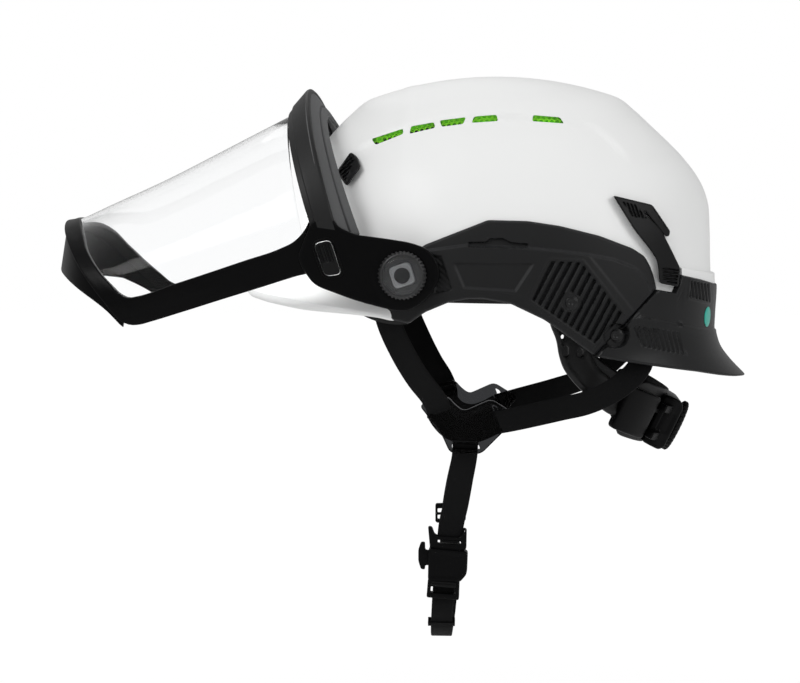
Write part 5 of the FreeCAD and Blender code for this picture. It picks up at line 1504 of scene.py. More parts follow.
def lensHoop(a, e, h):
    middle = np.sin(np.clip(np.asarray(e) / visor["span"], 0, 1) * math.pi)
    up = middle * (visor["chinLift"] * rise(a, 55, 107) + visor["cornerLift"] * rise(a, 107, 121))
    return flatHoop(a, e, h) + up[..., None] * np.array([0, 0, 1.0])


half = visor["lensWall"] / 2
lensSection = softPolygon([(0.5, -half), (0.5, half), (111.6, half), (111.6, -half)], 0.5, 9.0)
lensPoints, lensFaces = hoopLoft(lensHoop, lensSection, -3.6, visor["span"] + 3.6)
addPiece("shieldLens", lensPoints, lensFaces, clearLens, "visor", ["visor_lens"], 50)
print("brow band, seal and lens are in place")

# the frame's edges on the lens as (along, round) lengths: cheek end, side bar, corner and chin
frameOutside = [(-1.1, -9.6), (0.4, -13.6), (2.6, -14.3), (7.1, -13.9), (33.9, -12.7), (60.8, -11.7), (87.7,
        -11.1),
                (108, -10.6), (115, -10.2), (119.6, -8.6), (121.9, -5), (121.8, 2), (120.8, 12), (118.4,
                        40), (114.6, 80), (113.4, 110)]
frameInside = [(-5.9, 13.8), (-2, 9.6), (5, 5.8), (13.8, 4.8), (36.4, 5.7), (59.8, 6.8), (83, 8.1), (102.5,
        9.3), (107, 10.8), (109, 15),
               (109.6, 25), (108.2, 60), (105.6, 85), (105.2, 105)]


# Both halves of an edge of the frame, through a point on the centre line.
def wholeEdge(near, middle, count):
    near = np.array(near, float)
    far = near[::-1] * np.array([1, -1]) + np.array([0, visor["span"]])
    return smoothPath(np.vstack([near, [[middle, visor["span"] / 2]], far]), count)


outerEdge = wholeEdge(frameOutside, 113.6, 250)


def buildFrame():
    loop = np.vstack([outerEdge, wholeEdge(frameInside, 107.4, 230)[::-1]])
    thick = visor["lensWall"] / 2 + visor["frameWall"]

    # A shallow step along the inner edge, where the channel grips the lens.
    def lay(a, e, h):
        inner = insideBy(np.column_stack([a, e]), loop)
        sunk = np.where(np.abs(h) > thick - 0.4, 0.35 * rise(-np.abs(inner - 4.2), -0.5, -0.2), 0)
        return lensHoop(a, e, h - np.sign(h) * sunk)

    return plate(loop, [], -thick, thick, 0.9, lay, spacing=3.2, roundLow=True)


framePoints, frameFaces, frameWearAndHighlight = buildFrame()
addPiece("shieldFrame", framePoints, frameFaces, visorPlastic, "visor", ["visor_frame"], 50,
         wearAndHighlight=frameWearAndHighlight)


# The chin lip stands down from the frame's outer edge.
# Its drop is the deepest drop times (1 - (x / half)^2) to a power, plus a small step.
lip = {"from": -4.0, "drop": 27.0, "half": 88.0, "power": 0.6, "lean": 0.16, "thick": 2.6}


def addLip():
    reach = outerEdge[:, 1]
    edge = outerEdge[(outerEdge[:, 0] > 110) & (reach > lip["from"]) & (reach < visor["span"] - lip["from"])]
    top = lensHoop(edge[:, 0] - lip["thick"] / 2, edge[:, 1], np.zeros(len(edge)))
    drop = 0.3 + lip["drop"] * np.maximum(1 - (top[:, 0] / lip["half"]) ** 2, 0) ** lip["power"]
    foot = top - drop[:, None] * np.array([0, lip["lean"], 1.0])
    out = np.cross(np.gradient(top, axis=0), top - foot)
    points, faces, _ = band(foot, top, out, lip["thick"], 0.9)
    addPiece("shieldLip", points, faces, visorPlastic, "visor", ["visor_frame"], 50)


addLip()
print("shield frame and its chin lip are in place")

# arm plates with a pocket for the release button and a bore for the pivot
armTail = [(-59.1, -5.3), (-52, -6.8), (-45.4, -6.9), (-38.5, -3.6), (-32.2, 2.2), (-28, 8.2), (-26.4, 14),
           (-28.0, 22.2),
           (-34, 28.8), (-43.7, 32.2), (-59.1, 34.6)]
armCorners = [(-59.1, 34.6), (-75.1, 36.6), (-84.6, 41.0), (-87.6, 46.0), (-99.6, 46.0), (-107.9, 23.7),
              (-105.6, 17.5),
              (-98.8, 7.7), (-75.8, -0.8), (-59.1, -5.3)]
buttonFace = [(-98.5, 31.2), (-89.3, 33.5), (-83.0, 14.1), (-92.2, 13.0)]
buttonPocket = [(-98.9, 31.5), (-89.1, 33.9), (-82.6, 13.8), (-92.4, 12.6)]
buttonRim = [(-100.6, 32.6), (-88.0, 36.0), (-80.4, 12.6), (-93.4, 10.8)]


def circle(y, z, radius, count=56):
    turn = np.linspace(0, 2 * math.pi, count, endpoint=False)
    return np.column_stack([y + radius * np.cos(turn), z + radius * np.sin(turn)])


def armOutline():
    return softPolygon(armCorners[:-1] + armTail[:-1], 5.0, 2.0)


def addArm():
    holes = [circle(*visor["pivot"], 4.7), softPolygon(buttonPocket, 3.4, 2.0)]

    # The face rises a little from its rim towards the middle and forms a low collar round the pivot.
    def lay(y, z, x):
        near = np.hypot(y - visor["pivot"][0], z - visor["pivot"][1])
        face = np.where(x > visor["armOuter"] - 0.2, 0.35 * rise(-near, -17.2, -16.4), 0)
        return flatX(y, z, x + face)

    points, faces, wearAndHighlight = plate(armOutline(), holes, visor["armInner"], visor["armOuter"], visor["armEdge"],
                                lay, spacing=2.0)
    arm = addPiece("leftArm", points, faces, visorPlastic, "visor", ["visor_carrier"], 42,
                   wearAndHighlight=wearAndHighlight)
    mirrorPiece(arm, "rightArm", "visor", ["visor_carrier"])
    points, faces, wearAndHighlight = plate(softPolygon(buttonRim, 5.0, 1.5), [softPolygon(buttonPocket, 3.4, 1.5)],
                                visor["armOuter"] - 1.0, visor["armOuter"] + visor["rimProud"], 0.35, flatX)
    rim = addPiece("leftButtonRim", points, faces, blackPlastic, "visor", ["visor_carrier"], 42)
    mirrorPiece(rim, "rightButtonRim", "visor", ["visor_carrier"])


def addButton():
    face = softPolygon(buttonFace, 3.2, 1.2)
    grip = [(-97.3, 30.6), (-89.4, 32.4), (-86.0, 21.6), (-94.2, 20.0)]

    def lay(y, z, x):
        p = np.stack([np.ravel(y), np.ravel(z)], -1)
        across = (p[:, 0] + 0.33 * p[:, 1]) % 1.9
        slot = rise(insideBy(p, grip), 0.0, 0.3) * rise(np.abs(across - 0.95), 0.32, 0.55)
        return flatX(y, z, x - np.where(x > visor["armOuter"] + 1.0, 0.8 * slot, 0))

    points, faces, wearAndHighlight = plate(face, [], visor["armInner"] + 1.5, visor["armOuter"] + visor["buttonProud"],
                                0.8, lay,
                                spacing=0.42)
    button = addPiece("leftButton", points, faces, clipPlastic, "left_release",
                      ["left_release_button"], 42,
                      wearAndHighlight=wearAndHighlight)
    mirrorPiece(button, "rightButton", "right_release", ["right_release_button"])


addArm()
addButton()

# pivot knobs: a notched ring, a clear domed cap and a square drive beneath it
knob = {"radius": 14.0, "depth": 7.0, "notches": 36, "cap": 11.0}


def addKnob():
    base = visor["armOuter"]
    middle = (0, *visor["pivot"])
    outer, cap, top = knob["radius"], knob["cap"], knob["depth"]
    ring = softProfile([(4.6, base + 0.8), (outer - 0.7, base + 0.8), (outer, base + 1.5), (outer,
            base + top - 2.4),
                        (outer - 0.7, base + top - 1.5), (cap + 1.3, base + top - 0.2), (cap + 0.9,
                                base + top),
                        (cap, base + top), (cap, base + 3.6), (7.0, base + 3.4), (4.6, base + 3.4), (4.6,
                                base + 0.8)], 0.3)
    height = ring[:, 1] - base
    notched = ((ring[:, 0] > cap + 0.6) & (height > 0.9) & (height < top - 0.3)).astype(float)
    points, faces = turned(ring, middle, (1, 0, 0), (0, 0, 1), 288, knob["notches"], 0.75, notched, 2.0)
    left = addPiece("leftKnob", points, faces, knobPlastic, "left_knob", ["left_pivot_knob"], 30)
    mirrorPiece(left, "rightKnob", "right_knob", ["right_pivot_knob"])
    dome = softProfile([(0.001, base + 5.9), (cap - 0.15, base + 5.9), (cap - 0.15, base + top + 0.5),
                        (cap - 1.3, base + top + 1.1), (cap - 4, base + top + 1.8), (0.001,
                                base + top + 2.2)], 0.5)
    points, faces = turned(dome, middle, (1, 0, 0), (0, 0, 1), 96)
    lens = addPiece("leftCap", points, faces, clearCap, "left_knob", ["left_knob_cap"], 30)
    mirrorPiece(lens, "rightCap", "right_knob", ["right_knob_cap"])


# The square drive is a pillow of superellipse rings, turned a little from level.
def addDrive():
    base = visor["armOuter"]
    turn = np.linspace(0, 2 * math.pi, 72, endpoint=False)
    power = 2 / 5.0
    rings = []
    for radius, height in ((6.3, 3.4), (6.3, 4.6), (6.0, 5.0), (5.5, 5.0), (5.2, 4.5), (3.6, 4.4), (3.4,
            3.9), (0.01, 3.9)):
        c, s = np.cos(turn), np.sin(turn)
        u = radius * np.sign(c) * np.abs(c) ** power
        v = radius * np.sign(s) * np.abs(s) ** power
        lean = math.radians(18)
        rings.append(np.stack([np.full(72, base + height),
                               visor["pivot"][0] + u * math.cos(lean) - v * math.sin(lean),
                               visor["pivot"][1] + u * math.sin(lean) + v * math.cos(lean)], -1))
    rings.insert(0, rings[0] + np.array([-1.0, 0, 0]))
    drive = addPiece("leftDrive", np.concatenate(rings), [gridFaces(9, 72, closeCols=True)], drivePlastic,
                     "left_knob",
                     ["left_pivot_knob"], 30)
    mirrorPiece(drive, "rightDrive", "right_knob", ["right_pivot_knob"])


addKnob()
addDrive()
for side in ("left", "right"):
    repaint(side + "_pivot_adapter", hiddenPlastic)
print("arms, buttons and knobs are in place")

# webbing: flat straps through (middle, direction of the width) stations

strap = {"thick": 1.7, "edge": 0.6, "step": 1.6, "width": 16.0, "chinWidth": 13.0}


def strapBand(stations, width, bend=0.0):
    flat = np.array([list(middle) + list(broad) for middle, broad in stations], float)
    run = np.concatenate([[0], np.cumsum(np.linalg.norm(np.diff(flat[:, :3], axis=0), axis=1))])
    count = int(run[-1] / strap["step"])
    fine = np.linspace(0, run[-1], count)
    path = np.stack([through(np.column_stack([run, flat[:, k]]), fine) for k in range(6)], 1)
    middle, broad = path[:, :3], path[:, 3:]
    along = np.gradient(middle, axis=0)
    along /= np.linalg.norm(along, axis=1)[:, None]
    broad = broad - along * (broad * along).sum(1)[:, None]
    broad /= np.linalg.norm(broad, axis=1)[:, None]
    normal = np.cross(along, broad)
    return band(middle - broad * width / 2, middle + broad * width / 2, normal, strap["thick"],
                strap["edge"], crown=bend)


def addStrap(name, node, stations, width):
    points, faces, uv = strapBand(stations, width)
    return addPiece(name, points, faces, webCloth, "helmet", [node], 40, uv=uv)


frontStations = [((91, -59, -8.6), (0.2, 1, 0)), ((90.6, -57.2, -15.2), (0.2, 1, 0)), ((84, -48.5, -35.5),
        (0.1, 1, 0.1)),
                 ((74, -40, -50.8), (0, 1, 0.15)), ((64, -32.4, -62), (0, 1, 0.25)), ((57.5, -29.6, -69),
                         (0, 1, 0.3)),
                 ((54.6, -29.2, -73.5), (0, 1, 0.32))]
rearStations = [((55.0, 4.0, -77.5), (0, -0.5, 1)), ((60, 14, -75), (0, -0.12, 1)), ((68, 43, -67.5),
        (0, 0.05, 1)),
                ((75.5, 59.2, -62.7), (0, 0.1, 1)), ((82, 76, -53.5), (0, -0.3, 1)), ((84.0, 88, -42),
                        (-0.3, -0.8, 0.8)),
                ((78, 93, -31), (-0.6, 0.8, 0.1))]
lowerStations = [((56.5, -13.5, -88), (0, 1, 0.02)), ((52.5, -13.8, -95), (0, 1, 0)), ((48, -16.8, -113),
        (0, 1, 0)),
                 ((43.5, -19.5, -128), (0, 1, -0.05)), ((40.6, -22.6, -142.5), (0, 1, -0.08)),
                 ((40.4, -23.4, -150), (0, 1, -0.08))]
chinStations = [((40.5, -27.2, -180), (0, 1, 0)), ((39.5, -27.8, -189), (0, 1, 0)), ((36, -28.4, -199),
        (0, 1, 0)),
                ((28.5, -29.0, -208.5), (0, 1, 0)), ((16, -29.4, -214.8), (0, 1, 0)), ((0, -29.6, -216.7),
                        (0, 1, 0)),
                ((-16, -29.4, -214.8), (0, 1, 0)), ((-28.5, -28.6, -208), (0, 1, 0)), ((-37, -27.6, -195),
                        (0, 1, 0)),
                ((-40, -26.6, -175), (0, 1, 0)), ((-41.5, -25.4, -147), (0, 1, 0)), ((-44, -22.5, -128),
                        (0, 1, 0)),
                ((-48, -18.5, -110), (0, 1, 0)), ((-54.5, -13.6, -88), (0, 1, 0.02))]
# the same web turns behind the divider from the front strap to the rear one
turnStations = [((56.4, -30.4, -71), (0, 1, 0.32)), ((54.0, -27.6, -76), (0, 1, 0.45)),
                ((53.0, -22.4, -81.2), (0, 0.75, 0.75)),
                ((52.6, -13.0, -83.8), (0, 0.1, 1)), ((53.0, -3.4, -81.4), (0, -0.35, 1)),
                ((54.6, 4.4, -77.3), (0, -0.5, 1))]

for name, stations, width in (("Front", frontStations, strap["width"] - 1), ("Rear", rearStations,
        strap["width"] - 2)):
    near = addStrap("left" + name + "Strap", "left_" + name.lower() + "_strap", stations, width)
    mirrorPiece(near, "right" + name + "Strap", "helmet", ["right_" + name.lower() + "_strap"])
addStrap("leftLowerStrap", "left_lower_strap", lowerStations, strap["width"] - 0.6)
addStrap("chinStrap", "chin_strap", chinStations, strap["chinWidth"])
for side, sign in (("left", 1), ("right", -1)):
    stations = [((sign * m[0], m[1], m[2]), b) for m, b in turnStations]
    addStrap(side + "TurnedWeb", side + "_front_strap", stations, strap["width"] - 2.4)
print("straps are in place")

# strap dividers: a smoky plate with a raised border and slots for the webs
divider = {"inner": 54.0, "thick": 3.6, "border": 2.6}
dividerCorners = [(-41.5, -66.8), (-24, -61.3), (-19.5, -66.5), (-14.4, -70.2), (1.8, -62.9), (17.4, -72.5),
                  (10.3, -81.6),
                  (-4.1, -96.2), (-22.8, -95.7), (-28.2, -83.7)]
dividerSlots = [[(-37.2, -68.4), (-24.4, -64.2), (-23.6, -66.4), (-36.2, -70.6)],
                [(2.6, -66.6), (5.4, -68.0), (9.6, -78.4), (7.2, -79.6)],
                [(-21.6, -90.2), (-5.4, -90.6), (-4.6, -93.2), (-21.6, -92.8)]]


def addDivider():
    outline = softPolygon(dividerCorners, 3.4, 1.6)
    slots = [softPolygon(s, 0.9, 1.2) for s in dividerSlots]
    top = divider["inner"] + divider["thick"]

    def lay(y, z, x):
        rim = insideBy(np.stack([np.ravel(y), np.ravel(z)], -1), outline)
        sunk = 0.7 * rise(rim, divider["border"], divider["border"] + 0.8)
        return flatX(y, z, np.where(x > top - 0.2, x - sunk, x))

    points, faces, wearAndHighlight = plate(outline, slots, divider["inner"], top, 0.7, lay, spacing=1.1, roundLow=True)
    piece = addPiece("leftDivider", points, faces, smokeSheet, "helmet", ["left_strap_divider"],
                     42, wearAndHighlight=wearAndHighlight)
    mirrorPiece(piece, "rightDivider", "helmet", ["right_strap_divider"])


addDivider()

# chin buckle: body, plug, side button, web adjuster with its roller, keeper and slider
buckle = {"inner": 36.0, "outer": 46.0}


def sidePlate(name, node, corners, radius, low, high, edge, material, holes=(), body="helmet",
              lay=flatX,
              spacing=None, both=True):
    windows = [softPolygon(h, 0.7, 1.0) for h in holes]
    points, faces, wearAndHighlight = plate(softPolygon(corners, radius, 1.6), windows, low, high, edge, lay, spacing,
                                roundLow=both)
    return addPiece(name, points, faces, material, body, [node], 42, wearAndHighlight=wearAndHighlight)


def buckleLay(y, z, x):
    p = np.stack([np.ravel(y), np.ravel(z)], -1)
    face = [(-34.4, -157.6), (-14.4, -159.2), (-14.8, -170.4), (-18.2, -174.2), (-34.8, -174.0)]
    dish = 0.55 * rise(insideBy(p, face), 0.0, 0.8)
    return flatX(y, z, np.where(np.ravel(x) > buckle["outer"] - 0.2, np.ravel(x) - dish,
                                np.ravel(x)).reshape(np.shape(x)))


sidePlate("buckleBody", "buckle_body", [(-36.2, -155.4), (-12.3, -157.4), (-12.8, -171.5),
                                                         (-17.1, -176.5),
                                                         (-36.6, -176.0)], 2.2, buckle["inner"],
          buckle["outer"], 1.3,
          blackPlastic, lay=buckleLay, spacing=0.9)
plugFace = [(-36.6, -142.6), (-34.2, -143.0), (-32.8, -147.0), (-31.0, -148.2), (-17.4, -149.0), (-15.8,
        -147.4),
            (-15.0, -143.4), (-13.0, -144.2), (-13.2, -156.4), (-15.8, -157.2), (-15.8, -167.6), (-30.6,
                    -167.4),
            (-31.2, -157.2), (-35.4, -156.4)]
sidePlate("bucklePlug", "buckle_plug", plugFace, 1.1, 38.2, 43.6, 1.0, blackPlastic,
          holes=[[(-30.8, -150.8), (-16.6, -151.6), (-16.6, -153.4), (-30.8, -152.8)]])
sidePlate("buckleButton", "buckle_button", [(-41.0, -152.4), (-38.5, -152.4),
                                                             (-38.4, -157.4), (-34.2, -157.4),
                                                             (-34.2, -166.6), (-38.4, -166.6), (-38.5,
                                                                     -169.4),
                                                             (-41.0, -169.0), (-42.6, -164), (-42.6, -157)],
          1.4, 38.9, 42.7,
          0.8, blackPlastic, body="buckle_release")
sidePlate("buckleAdjuster", "buckle_adjuster", [(-36.6, -174.6), (-17.3, -175.2),
                                                                 (-17.7, -187.8), (-37.5, -186.2)],
          1.2, 37.2, 44.4, 1.0, blackPlastic,
          holes=[[(-34.9, -179.4), (-19.6, -180.2), (-19.9, -184.2), (-35.2, -183.2)]])


# The roller is a cylinder with fine teeth, its ends let into the adjuster.
def addRoller():
    start, end = np.array([44.6, -34.6, -177.2]), np.array([44.6, -19.4, -178.4])
    length = np.linalg.norm(end - start)
    profile = softProfile([(0.001, 0), (1.75, 0), (1.75, length), (0.001, length)], 0.3)
    points, faces = turned(profile, start, end - start, (1, 0, 0), 84, 14, 0.3)
    addPiece("buckleRoller", points, faces, clipPlastic, "helmet", ["buckle_bar"], 30)


addRoller()
sliderFace = [(-35.8, -140.8), (-17, -140.2), (-16, -141.2), (-16, -151.2), (-17, -152.2), (-34.6, -153.4),
              (-35.8, -152.4)]
sidePlate("strapSlider", "strap_slider", sliderFace, 1.2, -43.6, -39.4, 0.8, blackPlastic,
          holes=[[(-34.4, -144.0), (-17.4, -143.2), (-17.4, -146.2), (-34.4, -146.8)],
                 [(-34.4, -148.2), (-17.4, -147.4), (-17.4, -150.4), (-34.4, -151.0)]])
repaint("strap_keeper", blackPlastic)
print("dividers and buckle are in place")

# headband and the nape's size adjuster
headBand = {"front": 96.0, "rear": 101.0, "half": 79.0, "wall": 2.0}
cradle = {"centre": (0.0, 38.4, -46.5), "tilt": 26.0, "radius": 75.0}
tiltTurn = math.radians(cradle["tilt"])
cradleOut = np.array([0, math.cos(tiltTurn), -math.sin(tiltTurn)])
cradleUp = np.array([0, math.sin(tiltTurn), math.cos(tiltTurn)])


# Place on the cradle's arc: radius, angle towards the wearer's left in degrees, height along the tilted axis.
def onArc(radius, angle, height):
    a = np.radians(angle)
    r = np.asarray(radius)
    outward = cradleOut * (r * np.cos(a))[..., None]
    upward = cradleUp * np.asarray(height)[..., None]
    return np.array(cradle["centre"]) + outward + upward + np.array([1, 0, 0]) * (r * np.sin(a))[..., None]


def addHeadband():
    end = math.acos((35.8 / headBand["rear"]) ** (shape["power"] / 2))
    turn = np.linspace(-(math.pi - end), math.pi - end, 240)
    c, s = np.cos(turn), np.sin(turn)
    power = 2 / shape["power"]
    y = -np.where(c > 0, headBand["front"], headBand["rear"]) * np.sign(c) * np.abs(c) ** power
    x = headBand["half"] * np.sign(s) * np.abs(s) ** power
    low = np.interp(y, [-96, -30, 35.8], [-5, -4, -5])
    high = np.interp(y, [-96, -80, -40, 10, 35.8], [21, 20, 16, 12, 8])
    normal = np.stack([np.gradient(y), -np.gradient(x), np.zeros_like(x)], 1)
    points, faces, _ = band(np.column_stack([x, y, low]), np.column_stack([x, y, high]), normal,
                            headBand["wall"], 0.7)
    addPiece("headband", points, faces, bandPlastic, "helmet", ["headband"], 40)


addHeadband()


# Sheet on the arc: outline and holes in (length round the arc, height), thickness by radius.
def arcPlate(name, node, outline, holes, low, high, edge, material, spacing=2.0, body="helmet",
             shift=None):
    middle = (low + high) / 2

    def lay(a, u, r):
        r = r if shift is None else shift(a, u, r)
        return onArc(r, np.degrees(a / middle), u)

    points, faces, wearAndHighlight = plate(outline, holes, low, high, edge, lay, spacing, roundLow=True)
    return addPiece(name, points, faces, material, body, [node], 42, wearAndHighlight=wearAndHighlight)


def arcLength(radius, angle):
    return math.radians(angle) * radius


cradleHalf = arcLength(71.3, 46)
window = [(arcLength(71.3, 24), -9), (arcLength(71.3, 40), -9), (arcLength(71.3, 40), 10),
          (arcLength(71.3, 24), 10)]
arcPlate("napeCradle", "nape_cradle",
         softPolygon([(-cradleHalf, -17), (cradleHalf, -17), (cradleHalf, 19), (-cradleHalf, 19)], 7, 2.0),
         [softPolygon(window, 3, 2.0), softPolygon([(-a, u) for a, u in window], 3, 2.0)], 70.3, 72.3, 0.7,
         bandPlastic)


# Side view of a nape arm laid on the tapering ring between the headband and the racks.
def onNape(y, z, h):
    def reachX(y, z):
        drop = np.clip((6 - z) / 96, 0, 1)
        half, rear = headBand["half"] + 3.4 * drop, headBand["rear"] + 5.6 * drop
        return half * (1 - np.clip(np.abs(y) / rear, 0, 0.999) ** shape["power"]) ** (1 / shape["power"])

    slope = reachX(y + 0.5, z) - reachX(y - 0.5, z)
    out = np.stack([np.ones_like(slope), -slope, np.zeros_like(slope)], -1)
    out /= np.linalg.norm(out, axis=-1)[..., None]
    return np.stack([reachX(y, z), y, z], -1) + out * np.asarray(h)[..., None]


def addNapeArm():
    outer = [(36, 4), (36, -8), (37.3, -17.1), (40.8, -25.9), (42.6, -35.3), (45, -42.4), (49.8, -49.5),
             (60, -60), (75, -72),
             (90, -76)]
    back = [(94, -62), (83, -55.6), (72.6, -48.8), (65.5, -42.3), (62, -35.8), (60.5, -20), (62, -8), (62, 4)]
    outline = softPolygon(np.vstack([smoothPath(outer, 46), smoothPath(back, 40)]), 1.0, 2.0)
    slots = [((44.3, -24.0), (44.3, -24.2), 1.2), ((46.1, -31.4), (46.1, -34.0), 1.9), ((54.8, -33.4),
            (54.8, -34.2), 2.1)]
    holes = []
    for (ya, za), (yb, zb), radius in slots:
        turn = np.linspace(0, 2 * math.pi, 32, endpoint=False)
        upper = np.sin(turn) > 0
        holes.append(np.column_stack([np.where(upper, ya, yb) + radius * np.cos(turn),
                                      np.where(upper, max(za, zb), min(za, zb)) + radius * np.sin(turn)]))

    # A rib stands along the arm's forward edge.
    def lay(y, z, h):
        inner = insideBy(np.stack([np.ravel(y), np.ravel(z)], -1), outline)
        rib = 0.8 * rise(-np.abs(inner - 1.9), -1.5, -0.9)
        return onNape(y, z, np.where(np.ravel(h) > 0.3, np.ravel(h) + rib, np.ravel(h)).reshape(np.shape(h)))

    points, faces, wearAndHighlight = plate(outline, holes, -2.6, 0.4, 0.6, lay, spacing=1.6, roundLow=True)
    arm = addPiece("leftNapeArm", points, faces, bandPlastic, "helmet", ["left_nape_arm"], 42,
                   wearAndHighlight=wearAndHighlight)
    mirrorPiece(arm, "rightNapeArm", "helmet", ["right_nape_arm"])


addNapeArm()
for side, sign in (("left", 1), ("right", -1)):
    start, end = sign * arcLength(75.2, 30), sign * arcLength(75.2, 54)
    piece = arcPlate(side + "Sleeve", side + "_nape_arm",
                     softPolygon([(start, -14), (end, -14), (end, 14), (start, 14)], 3, 2.0), [], 72.4,
                     78.2, 1.4, blackPlastic)


# Housing of the size adjuster: a softened block with side ledges and slots, its profile in (radius, height).
def addHousing():
    profile = [(69, -16.0), (81.0, -16.5), (83.6, -13.8), (83.6, 12.6), (81.2, 16.2), (74.5, 16.8), (69,
            16.0)]
    half = 27.0

    def lay(r, u, x):
        narrow = 1 - 0.16 * rise(r, 75, 83.6)
        side = np.abs(x) > half - 0.3
        band1 = side & (np.abs(u - 1) < 6.5) & (r > 73.5) & (r < 80.5)
        x = np.where(band1, x - np.sign(x) * 1.1, x) * narrow
        place = np.array(cradle["centre"]) + cradleOut * r[..., None] + cradleUp * u[..., None]
        return place + np.array([1, 0, 0]) * x[..., None]

    points, faces, wearAndHighlight = plate(softPolygon(profile, 2.4, 1.2), [], -half, half, 1.6, lay, spacing=1.1,
                                roundLow=True)
    addPiece("ratchetHousing", points, faces, blackPlastic, "helmet", ["ratchet_housing"], 42,
             wearAndHighlight=wearAndHighlight)
    for sign in (1, -1):
        start, end = sign * arcLength(80, 15), sign * arcLength(80, 27)
        for number, low in enumerate((-12.6, 5.6)):
            arcPlate(("left" if sign > 0 else "right") + "HousingLedge" + str(number + 1),
                     "ratchet_housing",
                     softPolygon([(start, low), (end, low + 0.8), (end, low + 5.4), (start, low + 7)], 1.0,
                                 1.6), [], 76.5, 81.6,
                     1.0, blackPlastic)


def addDial():
    place = np.array(cradle["centre"]) + cradleOut * cradle["radius"]
    profile = softProfile([(0.001, 8.9), (15.6, 8.9), (16.6, 9.8), (16.6, 12.0), (15.3, 12.95), (12.4,
            12.95), (11.4, 12.0),
                           (10.8, 11.9), (0.001, 11.9)], 0.4)
    notched = (profile[:, 0] > 14.5).astype(float)
    points, faces = turned(profile, place, cradleOut, (1, 0, 0), 300, 30, 1.0, notched, 2.5)
    addPiece("ratchetDial", points, faces, clipPlastic, "size_dial", ["ratchet_knob"], 30)
    corners = softPolygon([(-1.7, -11.4), (1.7, -11.4), (1.7, 11.4), (-1.7, 11.4)], 1.5, 1.2)

    def lay(a, b, h):
        return place + cradleUp * a[..., None] + np.array([1, 0, 0]) * b[..., None] + cradleOut * h[..., None]

    points, faces, wearAndHighlight = plate(corners, [], 11.0, 13.0, 0.7, lay)
    addPiece("dialGrip", points, faces, clipPlastic, "size_dial", ["ratchet_knob"], 40,
             wearAndHighlight=wearAndHighlight)


addHousing()
addDial()
for node, material in (("ratchet_pinion", blackPlastic), ("left_rack", blackPlastic), ("right_rack",
        blackPlastic),
                       ("left_front_anchor", bandPlastic), ("right_front_anchor", bandPlastic),
                       ("left_rear_anchor", bandPlastic), ("right_rear_anchor", bandPlastic)):
    repaint(node, material)
print("headband, nape arms and size adjuster are in place")

# pads: fabric cushions with a flat sewn border, blown up by a short cloth run

pad = {
    "thick": 5.0,
    "voxel": 3.0,
    "frames": 20,
    "pressure": 4.0,
    "cap": 5.0,              # furthest that the free face may swell
    "backCap": 0.25,         # and the face that rests on the liner, the band or the cradle
    "border": 5.5,           # width over which the sewn edge thickens
    "inset": 23.2,           # middle of the crown pads under the outside of the shell
}


# A pad's mesh: a plate whose half thickness grows with the distance from its outline, on a curved middle.
def padPlate(outline, place):
    loop = softPolygon(outline, 7.0, 3.0)
    half = pad["thick"] / 2

    def lay(a, b, h):
        inner = insideBy(np.column_stack([a, b]), loop)
        return place(a, b, h * (0.36 + 0.64 * rise(inner, 0.4, pad["border"])))

    return plate(loop, [], -half, half, 0.9, lay, spacing=3.0, roundLow=True)


def applyModifiers(piece):
    graph = bpy.context.evaluated_depsgraph_get()
    mesh = bpy.data.meshes.new_from_object(piece.evaluated_get(graph))
    piece.modifiers.clear()
    old, piece.data = piece.data, mesh
    bpy.data.meshes.remove(old)
    mesh.name = piece.name


def meshPoints(mesh):
    flat = np.empty(len(mesh.vertices) * 3)
    mesh.vertices.foreach_get("co", flat)
    return flat.reshape(-1, 3)


# Cloth run: remesh, swell under pressure, then keep each point within its cap of where it started.
def puffUp(piece, backPoints):
    remesh = piece.modifiers.new("remesh", "REMESH")
    remesh.mode = "VOXEL"
    remesh.voxel_size = pad["voxel"] * mm
    applyModifiers(piece)
    start = meshPoints(piece.data)
    cloth = piece.modifiers.new("cloth", "CLOTH")
    cloth.settings.use_pressure = True
    cloth.settings.uniform_pressure_force = pad["pressure"]
    cloth.settings.effector_weights.gravity = 0
    for number in range(1, pad["frames"] + 1):
        scene.frame_set(number)
    applyModifiers(piece)
    scene.frame_set(1)
    moved = meshPoints(piece.data) - start
    finder = KDTree(len(backPoints))
    for number, (point, _) in enumerate(backPoints):
        finder.insert(Vector(point), number)
    finder.balance()
    back = np.array([backPoints[finder.find(Vector(p))[1]][1] for p in start])
    cap = np.where(back, pad["backCap"], pad["cap"]) * mm
    far = np.maximum(np.linalg.norm(moved, axis=1), 1e-9)
    ends = start + moved * np.minimum(1, cap / far)[:, None]
    piece.data.vertices.foreach_set("co", ends.ravel())
    piece.data.update()


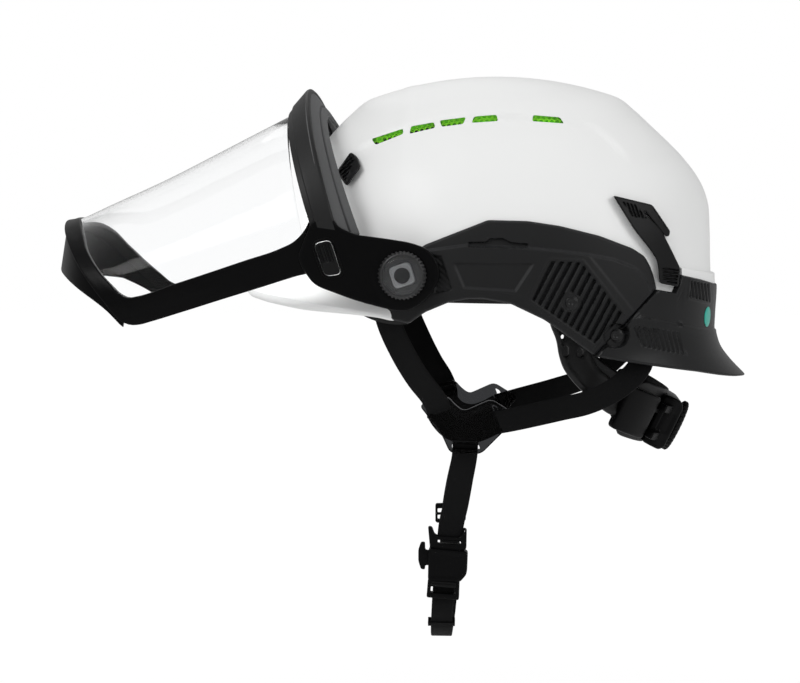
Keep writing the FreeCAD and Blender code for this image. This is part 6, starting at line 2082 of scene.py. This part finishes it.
def addPad(name, node, outline, place, backSign):
    points, faces, _ = padPlate(outline, place)
    mesh = bpy.data.meshes.new(name)
    mesh.from_pydata([tuple(p) for p in points * mm], [],
                     [tuple(f) for block in faces for f in np.asarray(block).tolist()])
    tidyMesh(mesh, 60)
    piece = bpy.data.objects.new(name, mesh)
    scene.collection.objects.link(piece)
    rest = padPlate(outline, lambda a, b, h: np.stack([a, b, h], -1))[0]
    backPoints = [(p * mm, h * backSign > 0.2) for p, h in zip(points, rest[:, 2])]
    puffUp(piece, backPoints)
    finer = piece.modifiers.new("finer", "SUBSURF")
    finer.levels = finer.render_levels = 1
    applyModifiers(piece)
    piece.data.materials.clear()
    piece.data.materials.append(padCloth)
    piece.data.shade_smooth()
    settle(piece, "helmet", [node])
    return piece


# brow pad: along the headband's inner face, measured by the ring's own turn
browPad = {"front": 96.0, "half": 79.0, "inset": 5.0, "scale": 88.0}


def onBrow(a, b, h):
    turn = a / browPad["scale"]
    c, s = np.cos(turn), np.sin(turn)
    power = 2 / shape["power"]
    inset = browPad["inset"] - h
    y = -(browPad["front"] - inset) * np.abs(c) ** power * np.sign(c)
    x = (browPad["half"] - inset) * np.abs(s) ** power * np.sign(s)
    return np.stack([x, y, b], -1)


# crown pads: x and y are given, and z is halved to the dome's own inset surface
def underDome(x, y, h):
    low, high = np.full(np.shape(x), 40.0), np.full(np.shape(x), 112.0)
    for _ in range(22):
        middle = (low + high) / 2
        p = np.stack([x, y, middle], -1)
        level = softMax(ringField(domeTable, p), middle - 110.0, 4.0)
        inside = level < h - pad["inset"]
        low, high = np.where(inside, middle, low), np.where(inside, high, middle)
    return np.stack([x, y, low], -1)


def onCradle(a, b, h):
    return onArc(67.1 + h, np.degrees(a / 67.1), b)


browEnd = browPad["scale"] * 1.33
addPad("browPad", "brow_pad", [(-browEnd, 6), (-browEnd * 0.88, -6), (browEnd * 0.88, -6), (browEnd, 6),
                               (browEnd * 0.88, 15),
                               (40, 21), (0, 23), (-40, 21), (-browEnd * 0.88, 15)], onBrow, 1)
addPad("crownPad", "crown_pad", [(-17, -51), (17, -51), (17, 57), (-17, 57)], underDome, 1)
sideOutline = [(27, -29), (56, -29), (66, -8), (66, 20), (56, 43), (27, 43)]
addPad("leftCrownPad", "left_crown_pad", sideOutline, underDome, 1)
addPad("rightCrownPad", "right_crown_pad", [(-x, y) for x, y in sideOutline], underDome, 1)
napeEnd = 67.1 * math.radians(40)
addPad("napePad", "nape_pad", [(-napeEnd, -14), (napeEnd, -14), (napeEnd, 16), (-napeEnd, 16)], onCradle, 1)
print("pads are blown up")
